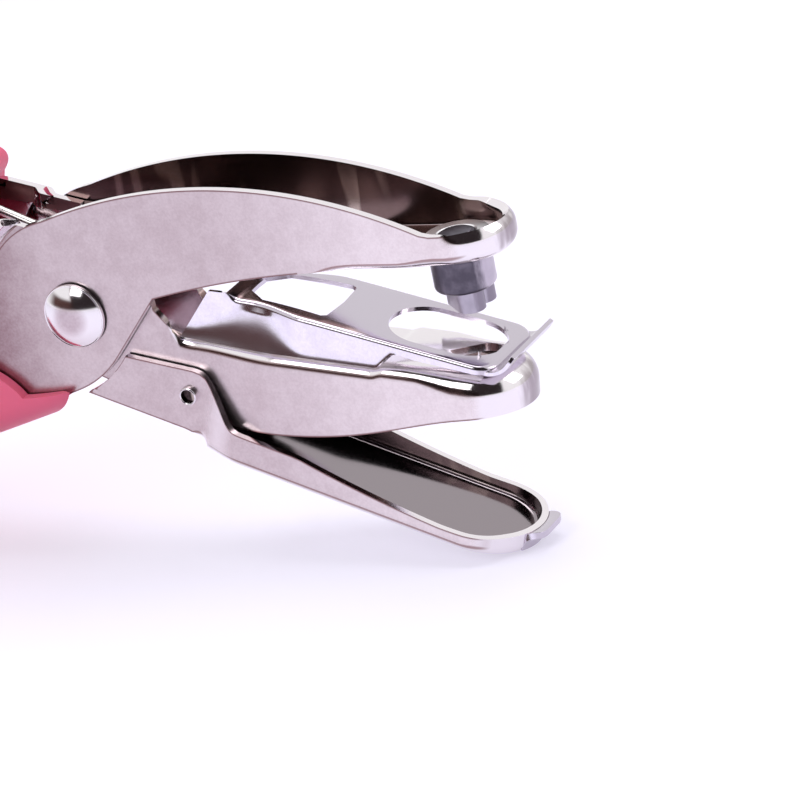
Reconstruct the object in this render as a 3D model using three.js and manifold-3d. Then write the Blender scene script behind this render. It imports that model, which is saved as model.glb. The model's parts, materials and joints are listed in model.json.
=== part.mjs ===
// Plier-type hole punch with soft grips, a paper stripper and a swing-down chip tray.
// Millimetres. The pivot axis is Y, the nose points to +X, and Z is up.
// Each lever is drawn in its own frame, whose X-Z origin is the pivot, as it lies with the jaws shut.
import * as THREE from 'three';
import { mergeVertices } from 'three/addons/utils/BufferGeometryUtils.js';
import Module from 'manifold-3d';

const wasm = await Module();
wasm.setup();

// ---------- driving dimensions ----------
const degree = Math.PI / 180;
const jawOpening = 7.7 * degree; // swing between the jaws shut and at rest
const trayOpening = 21 * degree; // swing of the chip tray below its shut place
const seatGap = 0.3; // between pieces that rest on each other
const sideGap = 0.3; // between walls that slide past each other
const pinGap = 0.2; // round a pin in its hole

const leverSheet = 1.1; // steel sheet of both levers
const punchHalf = 7; // half width of the punch lever and of both handles
const plateHalf = punchHalf - leverSheet - sideGap; // half width of the die lever at the pivot
const noseHalf = 7.2; // half width of the die lever's nose
const bendRadius = 2; // outer radius of the sheet bends
const cornerCut = 1; // rounding of free sheet corners

const punchReach = 55; // pivot to punch axis
const noseLead = 1; // punch axis to the centre of both round noses
const noseReach = punchReach + noseLead;
const dieFace = -1.55; // top of the die lever's jaw
const punchUnderside = 5.7; // bottom of the punch lever's jaw
const punchBite = 1.15; // travel of the punch below the die face

const crownRadius = 75; // top edge of the punch lever's walls
const crownX = 22;
const crownTop = 17.3;
const noseRim = 10.2; // height of the rim round the punch lever's nose
const hubRadius = 13.5; // punch lever's plate behind the pivot
const bellyRadius = 16.4; // its round lower edge
const bellyX = -7.5;
const bellyZ = 4.5;
const throatX = 12.2; // corner where the jaw's lower edge meets the plate
const throatZ = 2;
const levelLength = 12; // the jaw's underside is level from here to the nose's centre
const levelStart = noseReach - levelLength;
const floorLength = 20; // floor in the punch lever's jaw, behind the nose's centre
const floorStart = noseReach - floorLength;

const handleLength = 79; // pivot to the end of the steel handles
const lowerHandleX = -2.4; // where the lower handle's straight bottom starts
const lowerHandleZ = -11.1;
const lowerHandleSlope = 18 * degree;
const lowerHandleDepth = 9.4;
const upperHandleX = -10.3; // a point on top of the upper handle
const upperHandleZ = 11.5;
const upperHandleSlope = 7.3 * degree;
const upperHandleCamber = 0.0008; // how fast its slope falls off
const upperHandleDepth = 9.4;
const tailDepth = 7.6; // depth of both handles at their ends

const diePlateRadius = 11; // die lever's plate in front of the pivot
const dieHeelRadius = 8.2; // and behind it
const dieWebStart = 14.5; // rear end of the die lever's jaw web
const flareStart = 17; // the die lever's jaw widens to its full width from here
const flareLength = 12;
const dieStep = 0.5; // how far the die stands above the web behind it
const dieLength = 13; // level die, behind the nose's centre
const dieStepX = noseReach - dieLength;
const dieStepLength = 1.8;
const bellyDepth = 14.2; // depth of the die lever's jaw below the pivot
const bellyFront = 26; // its lower edge rises from here to the nose
const dieNoseLow = -7; // lower edge of its nose
const tongueFront = -3.8; // front end of the upper handle's web

const rivetShank = 2.4;
const rivetHead = 4.5;
const rivetDome = 1.5;

const wireRadius = 0.65;
const coilRadius = 4.3;
const coilTurns = 3;
const coilPitch = 1.6;
const springReach = 21; // pivot to the tips of the spring's legs

const collarRadius = 4.1;
const tipLength = 2.9;
const shankRadius = 2.4;
const stubRadius = 3.1;
const stubHeight = 1.1;
const washerRadius = 4.4;
const washerThickness = 1;
const lobeRadius = 1.85; // the heart that the punch cuts
const lobeOffset = 1.6;
const lobeX = 1.05;
const heartPoint = 3.2;
const dieGap = 0.3; // round the punch in the die

const stripperSheet = 0.8;
const stripperBend = 1.3;
const stripperRear = 19.5;
const stripperHeel = 4.6; // how far the flanges' feet reach back past it
const stripperLead = 6.8; // its front end past the noses' centre
const stripperFront = noseReach + stripperLead;
const stripperPlateX = noseReach - 10.6; // a point on the stripper's top plate
const stripperPlateZ = 2.11;
const stripperSlope = 8.35 * degree;
const stripperCurve = 0.0053;
const stripperHalf = 5.55; // half width between the punch lever's walls
const stripperNoseHalf = 7.2;
const stripperFlare = 26; // the plate widens from here
const stripperFlareLength = 8;
const stripperBendX = stripperFlare + stripperFlareLength + 2; // the plate curves down behind this
const earRise = 0.75;
const earLength = 2.6;
const windowRear = 24.2;
const windowRearHalf = 2.2;
const windowChamfer = 2.6;
const windowHalf = 5;
const slotTail = 11.6; // the punch's slot, behind the punch axis
const slotLead = 4.4; // and past it
const slotRear = punchReach - slotTail;
const slotFront = punchReach + slotLead;
const slotBar = 6.9; // between the slot and the window
const windowFront = slotRear - slotBar;
const slotHalf = 5.3;
const flangeEnd = slotRear + 0.8; // front end of the stripper's side flanges
const flangeSlant = 3;
const railFoot = -0.95; // lowest point of the stripper's front rails

const pinX = 15.95; // tray pin, from the pivot in the die lever's frame
const pinZ = -9.75;
const pinRadius = 1.25;
const pinStand = 0.7; // how far the pin stands out of the tray's ears
const traySheet = 0.9;
const trayHalf = noseHalf + sideGap + traySheet;
const earHalf = plateHalf + sideGap + traySheet;
const trayPitch = jawOpening; // slope of the shut tray's floor
const trayFloor = -7.2; // outer face of the floor, from the pin
const trayFloorRear = 3.6;
const trayBend = 1.6;
const trayLead = 1.05; // centre of its round nose past the levers' noses
const trayNose = noseReach + trayLead - pinX;
const trayEarLow = -5.2;
const trayEarRear = -16.4;
const trayWallTop = -2.35;
const trayNoseTop = -4.7;
const trayEarGap = 0.8; // to the punch lever's plate
const trayLipHalf = 4.6;
const trayLipReach = 2.3;

const gripWall = 1.8;
const gripTail = 2.2; // grip past the end of the steel
const gripRound = 6; // length of the grips' rounded tails
const gripTaper = 0.55;
const toeFront = -2.3; // front end of the lower grip's toe
const guardRise = 3.4; // thumb guard on the upper grip
const guardFront = -17.6;
const guardLength = 11;

const arcSteps = 14;
const bendSteps = 3;
const tall = 60; // taller or longer than any piece

// ---------- tools ----------
const vec = (x, y) => new THREE.Vector2(x, y);

function toSolid(geometry) {
  const bare = geometry.clone();
  bare.deleteAttribute('normal');
  bare.deleteAttribute('uv');
  const merged = mergeVertices(bare, 1e-4);
  const corners = Array.from(merged.index.array);
  const kept = [];
  for (let i = 0; i < corners.length; i += 3) {
    const [a, b, c] = corners.slice(i, i + 3);
    if (a !== b && b !== c && c !== a) kept.push(a, b, c);
  }
  return new wasm.Manifold(new wasm.Mesh({
    numProp: 3,
    vertProperties: new Float32Array(merged.attributes.position.array),
    triVerts: new Uint32Array(kept),
  }));
}

function toGeometry(solid) {
  const mesh = solid.getMesh();
  const geometry = new THREE.BufferGeometry();
  geometry.setAttribute('position', new THREE.BufferAttribute(mesh.vertProperties, 3));
  geometry.setIndex(new THREE.BufferAttribute(mesh.triVerts, 1));
  geometry.computeVertexNormals();
  return geometry;
}

const join = (...solids) => solids.reduce((whole, piece) => whole.add(piece));
const cut = (solid, ...tools) => tools.reduce((whole, tool) => whole.subtract(tool), solid);
const shared = (...solids) => solids.reduce((whole, piece) => whole.intersect(piece));

// An outline in X-Z, made as wide as 2 * half along Y.
function acrossGeometry(shape, half) {
  const settings = { depth: 2 * half, bevelEnabled: false, curveSegments: arcSteps };
  return new THREE.ExtrudeGeometry(shape, settings).rotateX(Math.PI / 2).translate(0, half, 0);
}

const across = (shape, half) => toSolid(acrossGeometry(shape, half));

// An outline in X-Y, from low to high.
function upward(shape, low, high) {
  const settings = { depth: high - low, bevelEnabled: false, curveSegments: arcSteps };
  return toSolid(new THREE.ExtrudeGeometry(shape, settings).translate(0, 0, low));
}

const axle = (radius, half, x, z, sides = 32) =>
  toSolid(new THREE.CylinderGeometry(radius, radius, 2 * half, sides).translate(x, 0, z));

const post = (radius, low, high, x, y = 0, sides = 32) =>
  toSolid(new THREE.CylinderGeometry(radius, radius, high - low, sides)
    .rotateX(Math.PI / 2).translate(x, y, (low + high) / 2));

const block = (x0, x1, half, z0, z1) =>
  toSolid(new THREE.BoxGeometry(x1 - x0, 2 * half, z1 - z0).translate((x0 + x1) / 2, 0, (z0 + z1) / 2));

function arcPoints(x, y, radius, from, to, steps) {
  return Array.from({ length: steps + 1 }, (_, i) => {
    const angle = from + ((to - from) * i) / steps;
    return vec(x + radius * Math.cos(angle), y + radius * Math.sin(angle));
  });
}

// Joins rings of points, anticlockwise and equal in number, into one closed skin.
function loft(rings, place) {
  const count = rings[0].points.length;
  const positions = rings.flatMap((ring) => ring.points.flatMap((point) => place(point, ring.at)));
  const index = [];
  for (let k = 0; k + 1 < rings.length; k += 1) {
    for (let i = 0; i < count; i += 1) {
      const a = k * count + i;
      const b = k * count + ((i + 1) % count);
      index.push(a, b, b + count, a, b + count, a + count);
    }
  }
  const last = (rings.length - 1) * count;
  for (const [a, b, c] of THREE.ShapeUtils.triangulateShape(rings[0].points, [])) index.push(a, c, b);
  for (const [a, b, c] of THREE.ShapeUtils.triangulateShape(rings.at(-1).points, [])) {
    index.push(last + a, last + b, last + c);
  }
  const geometry = new THREE.BufferGeometry();
  geometry.setAttribute('position', new THREE.Float32BufferAttribute(positions, 3));
  geometry.setIndex(index);
  return toSolid(geometry);
}

const loftUp = (rings) => loft(rings, (point, z) => [point.x, point.y, z]);
const loftAlong = (rings) => loft(rings, (point, x) => [x, point.x, point.y]);

// A section across a handle or jaw, with its lower and upper corners rounded by their own radii.
function sectionRing(half, low, high, lowRadius, highRadius) {
  const corner = (y, z, radius, quarter) => (radius > 0
    ? arcPoints(y, z, radius, (quarter - 1) * 90 * degree, quarter * 90 * degree, bendSteps)
    : [vec(y, z)]);
  return [
    ...corner(half - lowRadius, low + lowRadius, lowRadius, 0),
    ...corner(half - highRadius, high - highRadius, highRadius, 1),
    ...corner(-half + highRadius, high - highRadius, highRadius, 2),
    ...corner(-half + lowRadius, low + lowRadius, lowRadius, 3),
  ];
}

// A jaw or tray seen from above: its sides follow halfAt(x) and end in a round nose.
function planOutline(stations, halfAt, noseX, inset) {
  const nearSide = stations.map((x) => vec(x, -(halfAt(x) - inset)));
  const nose = arcPoints(noseX, 0, halfAt(noseX) - inset, -90 * degree, 90 * degree, arcSteps);
  const farSide = stations.toReversed().map((x) => vec(x, halfAt(x) - inset));
  return [...nearSide, ...nose, ...farSide];
}

const smooth = (t) => {
  const s = Math.min(Math.max(t, 0), 1);
  return s * s * (3 - 2 * s);
};

const spread = (from, to, steps) =>
  Array.from({ length: steps + 1 }, (_, i) => from + ((to - from) * i) / steps);

// Levels of a bend: [height from its flat face, inset of the outline].
const bendLevels = (radius) => spread(0, 90 * degree, bendSteps)
  .map((angle) => [radius * (1 - Math.cos(angle)), radius * (1 - Math.sin(angle))]);

// ---------- shared curves ----------
const rotateAboutPivot = ([x, z], angle) => [
  x * Math.cos(angle) + z * Math.sin(angle),
  z * Math.cos(angle) - x * Math.sin(angle),
];

// The open tool rests on the tray's nose and the lower grip's tail, so the tail's height follows the tray's.
const trayTurn = trayOpening - trayPitch + jawOpening;
const [pinRestX, pinRestZ] = rotateAboutPivot([pinX, pinZ], jawOpening);
const trayFootX = trayNose + trayHalf - trayBend;
const ground = pinRestZ - trayFootX * Math.sin(trayTurn)
  + (trayFloor + trayBend) * Math.cos(trayTurn) - trayBend;

const tailX = -handleLength;
const depthAt = (x, depth) => depth + (tailDepth - depth) * smooth(x / tailX);

// How far the grips shrink toward their middle as they round off at the tail.
const gripEnd = tailX - gripTail;
const gripShrinkAt = (x) => {
  const past = Math.max((gripEnd + gripRound - x) / gripRound, 0);
  return 1 - gripTaper * (1 - Math.sqrt(Math.max(1 - past ** 2, 0)));
};

// The lower grip touches the ground half-way round its tail.
const touchX = gripEnd + gripRound / 2;
const touchRise = (1 - gripShrinkAt(touchX)) * (depthAt(touchX, lowerHandleDepth) / 2 + gripWall);
const lowerSpan = lowerHandleX - touchX;
const touchDrop = lowerHandleZ - (ground - touchRise + gripWall);
const lowerCamber = (lowerSpan * Math.tan(lowerHandleSlope) - touchDrop) / lowerSpan ** 2;
const lowerBottom = (x) => {
  const run = lowerHandleX - x;
  return lowerHandleZ - run * Math.tan(lowerHandleSlope) + lowerCamber * run ** 2;
};
const upperTop = (x) => {
  const run = upperHandleX - x;
  return upperHandleZ + run * Math.tan(upperHandleSlope) - upperHandleCamber * run * Math.abs(run);
};
// How far the jaw's underside lies below its level stretch: a parabola down to the throat.
const sagAt = (x) => (punchUnderside - throatZ)
  * (Math.max(levelStart - x, 0) / (levelStart - throatX)) ** 2;
const crownAt = (x) => crownTop - crownRadius + Math.sqrt(crownRadius ** 2 - (x - crownX) ** 2);

// Half width of a handle: straight, with a round end in plan.
const handleHalfAt = (x, half) => {
  const past = tailX + half - x;
  return past > 0 ? Math.sqrt(Math.max(half ** 2 - past ** 2, 0.25)) : half;
};
const handleStations = (front, half) => [
  ...spread(0, 80 * degree, 6).map((angle) => tailX + half - half * Math.cos(angle)),
  ...spread(tailX + half, front, 12),
];

// ---------- the cutting heart ----------
// Two round lobes toward the nose and a point toward the pivot, each grown by the same margin.
function heart(centreX, grow) {
  const radius = lobeRadius + grow;
  const pointX = centreX - heartPoint - grow * Math.SQRT2;
  const lobeCentre = centreX + lobeX;
  const reach = Math.hypot(lobeCentre - pointX, lobeOffset);
  const flank = Math.atan2(-lobeOffset, lobeCentre - pointX) - Math.asin(radius / reach);
  const touch = flank - Math.PI / 2;
  const notch = Math.acos(Math.sqrt(radius ** 2 - lobeOffset ** 2) / radius);
  const shape = new THREE.Shape();
  shape.moveTo(pointX, 0);
  shape.absarc(lobeCentre, -lobeOffset, radius, touch, notch, false);
  shape.absarc(lobeCentre, lobeOffset, radius, -notch, -touch, false);
  shape.closePath();
  return shape;
}

// ---------- punch lever: open-topped upper jaw and lower handle ----------
function punchPlateShape() {
  const shape = new THREE.Shape();
  const crownAngle = (x) => Math.acos((x - crownX) / crownRadius);
  const rimStart = crownX + Math.sqrt(crownRadius ** 2 - (noseRim - crownTop + crownRadius) ** 2);
  const hubMeet = -2.2;
  const hubStart = Math.atan2(crownAt(hubMeet), hubMeet);
  const throatReach = Math.hypot(throatX - bellyX, throatZ - bellyZ);
  const tangent = Math.atan2(throatZ - bellyZ, throatX - bellyX) - Math.acos(bellyRadius / throatReach);
  const hubEnd = 200 * degree;
  const behind = hubRadius * Math.cos(hubEnd);
  shape.moveTo(noseReach + punchHalf + 1, punchUnderside);
  shape.lineTo(noseReach + punchHalf + 1, noseRim);
  shape.lineTo(rimStart, noseRim);
  const crownFoot = crownTop - crownRadius;
  shape.absarc(crownX, crownFoot, crownRadius, crownAngle(rimStart), crownAngle(hubMeet), false);
  shape.absarc(0, 0, hubRadius, hubStart, hubEnd, false);
  shape.lineTo(behind, lowerBottom(behind));
  shape.lineTo(lowerHandleX, lowerHandleZ);
  shape.absarc(bellyX, bellyZ, bellyRadius, -lowerHandleSlope * 4, tangent, false);
  shape.lineTo(throatX, throatZ);
  shape.quadraticCurveTo((throatX + levelStart) / 2, punchUnderside, levelStart, punchUnderside);
  shape.closePath();
  return shape;
}

// The jaw with its bent floor, whose underside follows the same curve as the plates beside it.
// The bends grow from nothing at the floor's rear end.
function punchJaw(inset) {
  const xs = [...spread(floorStart - 6, levelStart, 5), noseReach - 1];
  const grown = (x) => smooth((x - floorStart) / (levelStart - floorStart));
  const outline = (drawn) => planOutline(xs, (x) => punchHalf - inset - drawn * grown(x), noseReach, 0);
  const rings = bendLevels(bendRadius - inset)
    .map(([rise, drawn]) => ({ at: punchUnderside + inset + rise, points: outline(drawn) }));
  rings.push({ at: tall, points: outline(0) });
  return loft(rings, (point, z) => [point.x, point.y, z - sagAt(point.x)]);
}

function punchLever() {
  const plates = across(punchPlateShape(), punchHalf);
  const rear = shared(plates, block(-tall, floorStart, tall, -tall, tall));
  const front = shared(plates, punchJaw(0));
  const handle = loftAlong(handleStations(-9, punchHalf).map((x) => {
    const half = handleHalfAt(x, punchHalf);
    const low = lowerBottom(x);
    const bend = Math.min(bendRadius, half * 0.8);
    return { at: x, points: sectionRing(half, low, low + depthAt(x, lowerHandleDepth), bend, 0) };
  }));
  const inner = punchHalf - leverSheet;
  const channel = loftAlong(handleStations(-9, punchHalf).slice(2).map((x) => {
    const half = handleHalfAt(x, punchHalf) - leverSheet;
    const low = lowerBottom(x) + leverSheet;
    const bend = Math.min(bendRadius - leverSheet, half * 0.8);
    return { at: x + leverSheet, points: sectionRing(half, low, tall, bend, 0) };
  }));
  const middle = block(-9 + leverSheet, floorStart, inner, -tall, tall);
  const floorEdge = post(inner, -tall, tall, floorStart, 0, 40);
  const rivetHole = axle(rivetShank + pinGap, tall, 0, 0);
  const punchHole = post(shankRadius + pinGap, 0, 12, punchReach);
  const steel = join(front, rear, handle);
  return cut(steel, channel, middle, floorEdge, punchJaw(leverSheet), rivetHole, punchHole);
}

// ---------- punch ----------
function punch() {
  const tipEnd = dieFace - punchBite;
  const collarLow = tipEnd + tipLength;
  const collarHigh = punchUnderside - seatGap;
  const washerTop = punchUnderside + leverSheet + 2 * seatGap + washerThickness;
  const stubLow = washerTop + seatGap;
  const round = 1.1;
  const profile = [
    vec(0, collarLow),
    ...arcPoints(collarRadius - round, collarLow + round, round, -90 * degree, 0, 4),
    vec(collarRadius, collarHigh),
    vec(shankRadius, collarHigh),
    vec(shankRadius, stubLow),
    vec(stubRadius, stubLow),
    vec(stubRadius, stubLow + stubHeight * 0.4),
    vec(stubRadius * 0.72, stubLow + stubHeight * 0.85),
    vec(0, stubLow + stubHeight),
  ];
  const turned = new THREE.LatheGeometry(profile, 36).rotateX(Math.PI / 2);
  const body = toSolid(turned.translate(punchReach, 0, 0));
  return join(body, upward(heart(punchReach, 0), tipEnd, collarLow + round));
}

function punchWasher() {
  const low = punchUnderside + leverSheet + seatGap;
  return cut(
    post(washerRadius, low, low + washerThickness, punchReach, 0, 36),
    post(shankRadius + pinGap, 0, tall, punchReach),
  );
}

// ---------- die lever: lower jaw with its web on top, and upper handle ----------
const dieHalfAt = (x) => plateHalf + (noseHalf - plateHalf) * smooth((x - flareStart) / flareLength);
const dieDipAt = (x) => dieStep * (1 - smooth((x - dieStepX) / dieStepLength));

// The die lever's jaw: a U of sheet with its web on top, raised round the die.
function dieJaw(inset, rear) {
  const xs = [
    rear,
    ...spread(flareStart, flareStart + flareLength, 5),
    ...spread(dieStepX, dieStepX + dieStepLength, 3),
    noseReach - 1,
  ];
  const outline = (extra) => planOutline(xs, dieHalfAt, noseReach, inset + extra);
  const levels = bendLevels(bendRadius - inset).toReversed();
  const rings = [
    { at: -tall, points: outline(0) },
    ...levels.map(([rise, drawn]) => ({ at: dieFace - inset - rise, points: outline(drawn) })),
  ];
  return loft(rings, (point, z) => [point.x, point.y, z - (z > -tall ? dieDipAt(point.x) : 0)]);
}

function dieJawShape() {
  const front = noseReach + noseHalf + 1;
  const shape = new THREE.Shape();
  shape.moveTo(dieWebStart, dieFace + 1);
  shape.lineTo(front, dieFace + 1);
  shape.lineTo(front, dieNoseLow);
  shape.bezierCurveTo(flareStart + 3, dieNoseLow - 1, flareStart - 3, -bellyDepth, bellyFront, -bellyDepth);
  shape.lineTo(pinX, pinZ - 4.3);
  shape.lineTo(dieWebStart - 5, pinZ - 2);
  shape.lineTo(dieWebStart - 5, dieFace - bendRadius);
  shape.closePath();
  return shape;
}

function diePlateShape() {
  const heelX = pinX - 1.9;
  const heelZ = pinZ - 3.7;
  const reach = Math.hypot(heelX, heelZ);
  const tangent = Math.atan2(heelZ, heelX) - Math.acos(dieHeelRadius / reach);
  const shape = new THREE.Shape();
  shape.moveTo(dieWebStart, dieFace - dieStep - 0.3);
  shape.absarc(0, 0, diePlateRadius, 8 * degree, 110 * degree, false);
  shape.lineTo(upperHandleX, upperTop(upperHandleX) - leverSheet);
  shape.lineTo(upperHandleX, upperTop(upperHandleX) - upperHandleDepth);
  shape.absarc(0, 0, dieHeelRadius, 165 * degree, tangent + 2 * Math.PI, false);
  shape.lineTo(heelX, heelZ);
  shape.lineTo(pinX + 4, pinZ - 4.3);
  shape.lineTo(pinX + 4, dieFace - bendRadius);
  shape.lineTo(dieWebStart, dieFace - bendRadius);
  shape.closePath();
  return shape;
}

function upperHandleRings(half, front, inset) {
  return handleStations(front, punchHalf).slice(inset > 0 ? 2 : 0).map((x) => {
    const sectionHalf = Math.min(handleHalfAt(x, punchHalf), half) - inset;
    const high = upperTop(x);
    const bend = Math.min(bendRadius - inset, sectionHalf * 0.8);
    const low = inset > 0 ? -tall : high - depthAt(x, upperHandleDepth);
    return { at: x + inset, points: sectionRing(sectionHalf, low, high - inset, 0, bend) };
  });
}

// The space between the handle's web and the jaw's web, with the round tongue at its rear.
function webOpening() {
  const inner = plateHalf - leverSheet;
  const shape = new THREE.Shape();
  shape.moveTo(dieWebStart, -inner);
  shape.lineTo(dieWebStart, inner);
  shape.lineTo(tongueFront - 4, inner);
  shape.quadraticCurveTo(tongueFront, inner, tongueFront, 0);
  shape.quadraticCurveTo(tongueFront, -inner, tongueFront - 4, -inner);
  shape.closePath();
  return upward(shape, -tall, tall);
}

function dieLever() {
  const hubClearance = hubRadius + 2 * seatGap;
  const jaw = shared(across(dieJawShape(), tall), dieJaw(0, dieWebStart - 6));
  const plates = across(diePlateShape(), plateHalf);
  const neck = loftAlong(upperHandleRings(plateHalf, tongueFront, 0));
  const wide = cut(
    loftAlong(upperHandleRings(punchHalf, tongueFront, 0)),
    axle(hubClearance, tall, 0, 0, 64),
  );
  const neckChannel = loftAlong(upperHandleRings(plateHalf, tongueFront + 1, leverSheet));
  const wideChannel = cut(
    loftAlong(upperHandleRings(punchHalf, tongueFront + 1, leverSheet)),
    axle(hubClearance + leverSheet, tall, 0, 0, 64),
  );
  const die = upward(heart(punchReach, dieGap), -tall, tall);
  const rivetHole = axle(rivetShank + pinGap, tall, 0, 0);
  const pinHole = axle(pinRadius + pinGap, tall, pinX, pinZ);
  return cut(
    join(jaw, plates, neck, wide),
    neckChannel, wideChannel, dieJaw(leverSheet, dieWebStart - 7), webOpening(), die, rivetHole, pinHole,
  );
}

// ---------- pivot rivet ----------
function pivotRivet() {
  const seat = punchHalf + seatGap;
  const rim = 0.35;
  const domeRadius = (rivetHead ** 2 + rivetDome ** 2) / (2 * rivetDome);
  const sweep = Math.asin(rivetHead / domeRadius);
  const domeCentre = seat + rim + rivetDome - domeRadius;
  const head = spread(sweep, 0, 5).map((angle) =>
    vec(domeRadius * Math.sin(angle), domeCentre + domeRadius * Math.cos(angle)));
  head[head.length - 1].x = 0;
  const half = [vec(rivetShank, seat), vec(rivetHead, seat), ...head];
  const mirrored = half.toReversed().map((point) => vec(point.x, -point.y));
  return toSolid(new THREE.LatheGeometry([...mirrored, ...half], 32));
}

// ---------- return spring ----------
// Wound round the rivet; one leg pushes up the upper handle's web, the other pushes down the lower one's.
class SpringPath extends THREE.Curve {
  constructor() {
    super();
    const web = [-springReach, upperTop(-springReach) - leverSheet];
    const [upperX, upperZ] = rotateAboutPivot(web, jawOpening);
    const lowerZ = lowerBottom(-springReach) + leverSheet * 1.05;
    this.upperEnd = vec(upperX, upperZ - seatGap - wireRadius * 1.1);
    this.lowerEnd = vec(-springReach, lowerZ + seatGap + wireRadius * 1.1);
    this.leave = SpringPath.tangentAngle(this.upperEnd, 1) + 2 * Math.PI * coilTurns;
    this.arrive = SpringPath.tangentAngle(this.lowerEnd, -1);
    this.upperLeg = Math.sqrt(this.upperEnd.lengthSq() - coilRadius ** 2);
    this.lowerLeg = Math.sqrt(this.lowerEnd.lengthSq() - coilRadius ** 2);
    this.coil = (this.leave - this.arrive) * coilRadius;
    this.total = this.upperLeg + this.coil + this.lowerLeg;
  }

  // Where the straight leg from the coil to the given tip touches the coil.
  static tangentAngle(tip, side) {
    return Math.atan2(tip.y, tip.x) - side * Math.acos(coilRadius / tip.length());
  }

  getPoint(t) {
    const run = t * this.total;
    const width = (coilPitch * (this.leave - this.arrive)) / (2 * Math.PI);
    if (run < this.lowerLeg) {
      const start = this.onCoil(this.arrive);
      const tip = this.lowerEnd.clone().lerp(start, run / this.lowerLeg);
      return new THREE.Vector3(tip.x, -width / 2, tip.y);
    }
    if (run < this.lowerLeg + this.coil) {
      const share = (run - this.lowerLeg) / this.coil;
      const at = this.onCoil(this.arrive + share * (this.leave - this.arrive));
      return new THREE.Vector3(at.x, width * (share - 0.5), at.y);
    }
    const share = (run - this.lowerLeg - this.coil) / this.upperLeg;
    const tip = this.onCoil(this.leave).lerp(this.upperEnd, share);
    return new THREE.Vector3(tip.x, width / 2, tip.y);
  }

  onCoil(angle) {
    return vec(coilRadius * Math.cos(angle), coilRadius * Math.sin(angle));
  }
}

function returnSpring() {
  const section = new THREE.Shape();
  section.absarc(0, 0, wireRadius, 0, 2 * Math.PI, false);
  const settings = { steps: 84, curveSegments: 3, bevelEnabled: false, extrudePath: new SpringPath() };
  return toSolid(new THREE.ExtrudeGeometry(section, settings));
}

// ---------- stripper plate ----------
const stripperTopAt = (x) => stripperPlateZ - (x - stripperPlateX) * Math.tan(stripperSlope)
  - stripperCurve * Math.max(stripperBendX - x, 0) ** 2;
const stripperHalfAt = (x) => stripperHalf
  + (stripperNoseHalf - stripperHalf) * smooth((x - stripperFlare) / stripperFlareLength);

// The stripper's shell follows the slope of its top plate.
function stripperShell(inset) {
  const flare = spread(stripperFlare, stripperFlare + stripperFlareLength, 5);
  const xs = [stripperRear - stripperHeel - 1, stripperRear + 3, ...flare, stripperBendX, stripperFront + 4];
  const outline = (extra) => {
    const half = (x) => stripperHalfAt(x) - inset - extra;
    return [...xs.map((x) => vec(x, -half(x))), ...xs.toReversed().map((x) => vec(x, half(x)))];
  };
  const levels = bendLevels(stripperBend - inset).toReversed();
  const rings = [
    { at: -tall, points: outline(0) },
    ...levels.map(([rise, drawn]) => ({ at: -inset - rise, points: outline(drawn) })),
  ];
  return loft(rings, (point, z) => [point.x, point.y, z + (z > -tall ? stripperTopAt(point.x) : 0)]);
}

function stripperSideShape() {
  const foot = dieFace - dieStep + seatGap;
  const railStart = flangeEnd + flangeSlant;
  const earEnd = stripperRear + earLength;
  const shape = new THREE.Shape();
  shape.moveTo(stripperRear - stripperHeel, foot);
  shape.lineTo(flangeEnd, foot);
  shape.lineTo(railStart - 1, stripperTopAt(railStart) - 1.6);
  const railTop = stripperTopAt(railStart + 2) - 1.5;
  shape.quadraticCurveTo(railStart, stripperTopAt(railStart) - 1.2, railStart + 2, railTop);
  shape.lineTo(slotFront - 1, railFoot);
  shape.lineTo(stripperFront, railFoot);
  shape.lineTo(stripperFront, stripperTopAt(stripperFront) + 4);
  shape.lineTo(earEnd + 2.6, stripperTopAt(earEnd + 2.6) + 0.2);
  shape.lineTo(earEnd, stripperTopAt(stripperRear) + earRise);
  shape.lineTo(stripperRear, stripperTopAt(stripperRear) + earRise);
  shape.closePath();
  return shape;
}

// The window behind the punch: wide, with a narrower rear end.
function stripperWindow() {
  const shape = new THREE.Shape();
  const wide = windowRear + windowChamfer;
  shape.moveTo(windowRear, -windowRearHalf);
  shape.lineTo(wide, -windowHalf + 0.7);
  shape.lineTo(windowFront - cornerCut, -windowHalf);
  shape.quadraticCurveTo(windowFront, -windowHalf, windowFront, -windowHalf + cornerCut);
  shape.lineTo(windowFront, windowHalf - cornerCut);
  shape.quadraticCurveTo(windowFront, windowHalf, windowFront - cornerCut, windowHalf);
  shape.lineTo(wide, windowHalf - 0.7);
  shape.lineTo(windowRear, windowRearHalf);
  shape.closePath();
  return upward(shape, -tall, tall);
}

function roundSlot(x0, x1, half, radius) {
  const shape = new THREE.Shape();
  shape.moveTo(x0 + radius, -half);
  shape.absarc(x1 - radius, -half + radius, radius, -Math.PI / 2, 0, false);
  shape.absarc(x1 - radius, half - radius, radius, 0, Math.PI / 2, false);
  shape.absarc(x0 + radius, half - radius, radius, Math.PI / 2, Math.PI, false);
  shape.absarc(x0 + radius, -half + radius, radius, Math.PI, 1.5 * Math.PI, false);
  return shape;
}

// The front lip: a strip of sheet that curls up so that paper slides in under it.
function stripperLip() {
  const start = slotFront - 0.4;
  const base = stripperTopAt(start);
  const radius = 3.4;
  const sweep = 62 * degree;
  const shape = new THREE.Shape();
  const curlX = start + 0.6;
  const curlZ = base - stripperSheet + radius;
  const foot = -90 * degree;
  shape.moveTo(start, base - stripperSheet);
  shape.lineTo(curlX, base - stripperSheet);
  shape.absarc(curlX, curlZ, radius, foot, foot + sweep, false);
  shape.absarc(curlX, curlZ, radius - stripperSheet, foot + sweep, foot, true);
  shape.lineTo(start, base);
  shape.closePath();
  const plan = roundSlot(start - 10, stripperFront + 3, stripperNoseHalf - 0.5, 3);
  return shared(across(shape, stripperNoseHalf), upward(plan, -tall, tall));
}

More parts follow.
